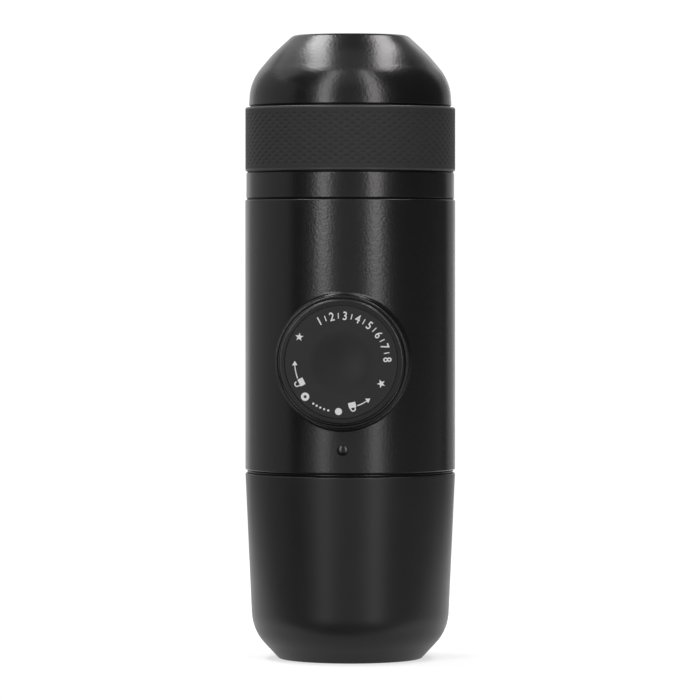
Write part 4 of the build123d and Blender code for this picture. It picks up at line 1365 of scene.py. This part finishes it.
@dataclass
class TravelCup:
    """The upturned cup: lip ring, waist, dome, and the knurled grip band round the waist.

    The dome's outer shoulder, brow and crown are corners, each with its rounding.
    """

    mouth: float = 129.25
    mouth_edge: float = 0.1
    inner_r: float = 26.85
    lip_r: float = 29.2
    lip_edge: float = 0.28
    lip_top: float = 136.7
    step: float = 0.3
    step_width: float = 0.8
    waist_r: float = 27.9
    wall: float = 1.6
    dome_bottom: float = 155.2
    dome_r: float = 28.45
    dome_edge: float = 0.3
    shoulder_at: Triple = (28.0, 162.15, 13.5)
    brow_at: Triple = (21.9, 169.6, 40.0)
    crown_at: Triple = (16.0, 175.0, 2.8)
    total: float = 175.0
    cone: float = 42.5
    crown_r: float = 17.0
    inner_shoulder: float = 9.9
    inner_crown: float = 5.4
    dome_wall: float = 2.1
    band_r: float = 29.47
    band_inner_r: float = 27.95
    band_low: float = 136.85
    band_high: float = 154.75
    band_edge: float = 0.45
    band_rows: int = 120
    pit_columns: int = 61
    pit_steps: int = 8
    pit_rows: int = 15
    pit_row_pitch: float = 0.979
    pit_middle: float = 145.65
    pit_turn: float = 0.386
    pit_depth: float = 0.13
    groove: float = 0.1
    rim_blend: float = 0.2

    def inner_dome(self, side_r: float) -> list[Pair]:
        """Shoulder and crown corners inside the dome, a wall's thickness in from its cone.

        Args:
            side_r: Radius of the upright side below the shoulder.
        Returns:
            Radius and height of both corners.
        """
        slope, top = tan_degrees(self.cone), self.total - self.dome_wall
        inset = self.dome_wall / math.cos(math.radians(self.cone))
        top_r = self.crown_r + self.dome_wall * slope - inset
        return [(side_r, (top_r + top * slope - side_r) / slope), (top_r, top)]

    def build(self, shop: Workshop) -> None:
        """Makes the cup as one closed profile turned about Z, and its grip band.

        Args:
            shop: The workshop that finishes the pieces.
        """
        waist_in, step_r = self.waist_r - self.wall, self.lip_r - self.step_width
        shoulder_in, crown_in = self.inner_dome(waist_in)
        profile = [
            (self.inner_r, self.mouth, self.mouth_edge),
            (self.lip_r, self.mouth, self.lip_edge),
            (self.lip_r, self.lip_top - self.step, self.lip_edge),
            (step_r, self.lip_top - self.step, 0.0),
            (step_r, self.lip_top, 0.0),
            (self.waist_r, self.lip_top, 0.0),
            (self.waist_r, self.dome_bottom, 0.0),
            (self.dome_r, self.dome_bottom, self.dome_edge),
            self.shoulder_at,
            self.brow_at,
            self.crown_at,
            (0.0, self.total, 0.0),
            (0.0, crown_in[1], 0.0),
            (*crown_in, self.inner_crown),
            (*shoulder_in, self.inner_shoulder),
            (waist_in, self.lip_top, 0.0),
            (self.inner_r, self.lip_top, 0.0),
        ]
        shape = Shape().turned(rounded(profile, 3.0))
        shop.piece("cup_and_dome", shape, Body.CUP, Stock.BODY, ["cup_shell"])
        shop.piece("knurled_grip", self.grip(), Body.CUP, Stock.GRIP, ["cup_band"], sharp=70.0)

    def grip(self) -> Shape:
        """The grip band, dimpled with rows of small pits, each row half a pitch from the next.

        Formula: with u the place round the band in pits and v the height in pairs of rows, and
        g(t) = (half + half cos 2 pi t)^2, the pits are depth x g(u + v) x g(u - v) deep, and
        shallow grooves of a tenth of that join them. Both stop short of the band's plain rims.

        Returns:
            The band's surface.
        """
        low, high, edge = self.band_low, self.band_high, self.band_edge
        z = np.linspace(low + edge, high - edge, self.band_rows)[:, None]
        angle = full_turn(self.pit_columns * self.pit_steps)
        u = angle * self.pit_columns / (2 * np.pi) + self.pit_turn
        v = (z - self.pit_middle) / (2 * self.pit_row_pitch)
        one, other = ((0.5 + 0.5 * np.cos(2 * np.pi * (u + way * v))) ** 2 for way in (1.0, -1.0))
        margin = self.pit_rows * self.pit_row_pitch / 2 - np.abs(z - self.pit_middle)
        pitted = np.clip(margin / self.rim_blend + 0.5, 0.0, 1.0)
        depth = self.pit_depth * pitted * (one * other + self.groove * (one + other))
        top = arc((self.band_r - edge, high - edge), edge, 8, 10.0, 90.0)
        foot = top[::-1] * (1.0, -1.0) + (0.0, low + high)
        inside = [(self.band_inner_r, high), (self.band_inner_r, low)]
        rest = np.concatenate([top, inside, foot])
        wall = about_z(self.band_r - depth, angle, z)
        closing = about_z(rest[:, :1], angle, rest[:, 1:])
        shape = Shape()
        shape.grid(np.concatenate([wall, closing]), wrap_rows=True, wrap_columns=True)
        return shape


@dataclass
class SeamRings:
    """Near-black rings of painted shade in the outer seams, the knob's gap and round the bump."""

    depth: float = 1.2
    edge: float = 0.08
    seams: tuple[tuple[str, float, float, float, Body], ...] = (
        ("seam_ring_dome", 28.10, 154.72, 155.22, Body.CUP),
        ("seam_ring_lip", 28.90, 136.38, 136.87, Body.CUP),
        ("seam_ring_mouth", 29.00, 128.92, 129.27, Body.CUP),
        ("seam_ring_tank", 28.80, 52.22, 53.12, Body.MAIN),
    )
    bead_at: Pair = (28.82, 52.66)
    bead_r: float = 0.17
    gap_ring_r: Pair = (17.30, 17.62)
    gap_ring_reach: Pair = (31.5, 33.05)
    bump_ring_r: Pair = (1.36, 1.56)
    bump_ring_reach: Pair = (29.0, 29.50)

    def build(self, shop: Workshop) -> None:
        """Makes each ring as a turned profile.

        Args:
            shop: The workshop that finishes the pieces.
        """
        rubber = Stock.BLACK_SILICONE
        rounding = (0.0, self.edge, self.edge, 0.0)
        # Painted shade: a near-black ring sunk in each seam.
        for name, radius, low, high, body in self.seams:
            ring = self.ring((radius - self.depth, radius), (low, high), rounding, 192)
            shop.piece(name, ring, body, rubber, finish=shop.seam_painted_shade)
        bead = Shape().turned(arc(self.bead_at, self.bead_r, 16))
        shop.piece("seam_bead_tank", bead, Body.MAIN, Stock.BODY)
        # Painted shade: a near-black ring sunk in the gap between knob and boss.
        rounding = (0.0, 0.0, self.edge, self.edge)
        gap_ring = self.ring(self.gap_ring_r, self.gap_ring_reach, rounding, 128)
        gap_ring.facing_front(PISTON_Z)
        shop.piece("knob_gap_shade_ring", gap_ring, Body.MAIN, rubber, finish=shop.gap_painted_shade)
        bump_ring = self.ring(self.bump_ring_r, self.bump_ring_reach, rounding, 128)
        bump_ring.facing_front(BUMP_Z)
        shop.piece("bump_shadow_ring", bump_ring, Body.MAIN, rubber, finish=shop.seam_painted_shade)

    def ring(self, radii: Pair, span: Pair, rounding: Sequence[float], segments: int) -> Shape:
        """Makes a ring of rectangular section about Z.

        Args:
            radii: Its inner and outer radius.
            span: Its lower and upper end.
            rounding: Of the section's corners: inner low, outer low, outer high, inner high.
            segments: Steps in a full turn.
        Returns:
            The ring's surface.
        """
        (inner, outer), (low, high) = radii, span
        corners = [(inner, low), (outer, low), (outer, high), (inner, high)]
        section = [(*corner, q) for corner, q in zip(corners, rounding)]
        return Shape().turned(rounded(section, 20.0), segments)


# ---------------------------------------------------------------- studio
@dataclass
class SoftLight:
    """A rectangular soft light that points at the object.

    Its direction from the object is given as seen by the camera: degrees to the right of it,
    and degrees above the floor. Its long side follows the given direction, where there is one.
    """

    name: str
    right: float
    above: float
    distance: float
    width: float
    tall: float
    radiance: float
    aim: float = 0.09
    tint: Triple = (1.0, 1.0, 1.0)
    along: Triple | None = None

    def build(self, camera_azimuth: float) -> None:
        """Places the light, hidden from the camera itself; its power is pi x area x radiance.

        Args:
            camera_azimuth: Degrees that the camera stands to the right of the front.
        """
        lamp = bpy.data.lights.new(self.name, "AREA")
        lamp.shape, lamp.size, lamp.size_y = "RECTANGLE", self.width, self.tall
        lamp.energy = math.pi * self.width * self.tall * self.radiance
        lamp.color = self.tint
        thing = put(self.name, lamp)
        a, b = math.radians(camera_azimuth + self.right), math.radians(self.above)
        way = Vector((math.sin(a) * math.cos(b), -math.cos(a) * math.cos(b), math.sin(b)))
        thing.location = Vector((0.0, 0.0, self.aim)) + way * self.distance
        if self.along:
            across = way.cross(Vector(self.along)).normalized()
            thing.rotation_euler = Matrix((across.cross(way), across, way)).transposed().to_euler()
        else:
            thing.rotation_euler = (-way).to_track_quat("-Z", "Y").to_euler()
        thing.visible_camera = False


WARM = (1.0, 0.965, 0.975)
LIGHTS = [
    SoftLight("strip_left", -29.3, 0.0, 1.0, 0.23, 2.36, 5.35, 1.285, (1.0, 0.985, 0.99)),
    SoftLight("strip_right", 27.3, 0.0, 1.0, 0.23, 2.36, 5.5, 1.285, WARM),
    SoftLight("low_left", -29.0, 0.0, 1.0, 0.22, 0.4, 1.2, -0.11),
    SoftLight("low_right", 27.6, 0.0, 1.0, 0.22, 0.4, 1.4, -0.11, WARM),
    SoftLight("top_left", -112.2, 65.6, 1.4, 1.0, 0.33, 9.6, 0.165, along=(-0.01, 1.0, 0.0)),
    SoftLight("top_right", 110.1, 63.6, 1.4, 1.0, 0.31, 8.4, 0.165, WARM, (-0.135, 1.0, 0.0)),
    SoftLight("high_left", -125.0, 45.0, 2.2, 2.4, 0.95, 0.85, 0.165),
    SoftLight("high_right", 149.0, 31.0, 2.2, 1.2, 1.0, 0.24, 0.165),
    SoftLight("side_left", -108.0, 8.0, 2.2, 3.8, 2.0, 0.38, 0.3),
    SoftLight("side_right", 149.5, 6.0, 2.2, 1.2, 1.8, 0.42, 0.3),
    SoftLight("behind", -174.0, 6.0, 2.4, 2.5, 1.8, 0.78, 0.3),
    SoftLight("front_fill", 0.0, 5.0, 2.4, 4.6, 2.6, 0.19, 0.3),
    SoftLight("top_fill", 0.0, 62.0, 2.2, 1.8, 2.4, 0.36, 0.165),
    SoftLight("low_fill", 70.0, -16.0, 2.0, 5.0, 1.0, 0.24, 0.1),
    SoftLight("low_front", -5.0, -8.5, 2.0, 4.4, 0.5, 0.36, 0.1),
]


@dataclass
class Studio:
    """Pale floor, soft lights, and the camera at the object's viewing angle."""

    azimuth: float = 4.15
    distance: float = 1.360
    eye: float = 0.118
    aim: Triple = (-0.00008, 0.0, 0.08664)
    lens: float = 248.75
    surround: float = 0.07
    backdrop: float = 1.05
    floor_reach: float = 0.23
    floor_middle: float = 0.196
    floor_glow: float = 0.62
    floor_drop: float = 0.05
    floor_steps: tuple[int, int] = (24, 64)

    def build(self) -> None:
        """Makes the floor, the surround, the lights and the camera."""
        bpy.context.scene.view_settings.view_transform = "Standard"
        self.surroundings()
        self.floor()
        for light in LIGHTS:
            light.build(self.azimuth)
        self.camera()

    def surroundings(self) -> None:
        """A white surround that lights the object only a little."""
        world = bpy.data.worlds.new("surround")
        world.use_nodes = True
        nodes, links = world.node_tree.nodes, world.node_tree.links
        glow = nodes["Background"]
        glow.inputs["Color"].default_value = (1.0, 1.0, 1.0, 1.0)
        ray = nodes.new("ShaderNodeLightPath")
        strength = nodes.new("ShaderNodeMapRange")
        strength.inputs["To Min"].default_value = self.surround
        strength.inputs["To Max"].default_value = self.backdrop
        links.new(ray.outputs["Is Camera Ray"], strength.inputs["Value"])
        links.new(strength.outputs["Result"], glow.inputs["Strength"])
        bpy.context.scene.world = world

    def floor(self) -> None:
        """A small round floor that glows a little, so that no shadow on it is deep.

        Formula: rings at radii that grow by a square law, turned about an upright axis a little
        behind the object, joined at a middle point.
        """
        rings, sectors = self.floor_steps
        radius = self.floor_reach * np.linspace(0.0, 1.0, rings)[:, None] ** 2 / MM
        disc = about_z(radius, full_turn(sectors), np.array(-self.floor_drop))
        shape = Shape()
        shape.grid(disc + (0.0, self.floor_middle / MM, 0.0), wrap_columns=True)
        mesh = shape.to_mesh("studio_floor", 40.0)
        graph = Graph("Floor_white")
        wanted = {
            "Base Color": graph.blend(graph.noise(60.0), grey(0.43), grey(0.47)),
            "Roughness": 0.9,
            "Specular IOR Level": 0.1,
            "Emission Color": (*grey(self.floor_glow), 1.0),
            "Emission Strength": 1.0,
        }
        mesh.materials.append(graph.shade(wanted))
        put("studio_floor", mesh)

    def camera(self) -> None:
        """The camera, level with the upper body and tilted slightly down."""
        a = math.radians(self.azimuth)
        place = Vector((math.sin(a) * self.distance, -math.cos(a) * self.distance, self.eye))
        lens = bpy.data.cameras.new("camera")
        lens.lens, lens.sensor_width = self.lens, 36.0
        lens.clip_start, lens.clip_end = 0.05, 60.0
        camera = put("camera", lens)
        camera.location = place
        camera.rotation_euler = (Vector(self.aim) - place).to_track_quat("-Z", "Y").to_euler()
        bpy.context.scene.camera = camera


def main() -> None:
    """Builds the object's pieces in order, then the studio."""
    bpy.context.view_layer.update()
    shop = Workshop()
    parts = [WaterTank(), Casing(), PistonKnob(), KnobMarks(), *springs(), TravelCup(), SeamRings()]
    for part in parts:
        part.build(shop)
        log.info("built %s", type(part).__name__)
    shop.dress_nodes()
    Studio().build()


if __name__ == "__main__":
    main()
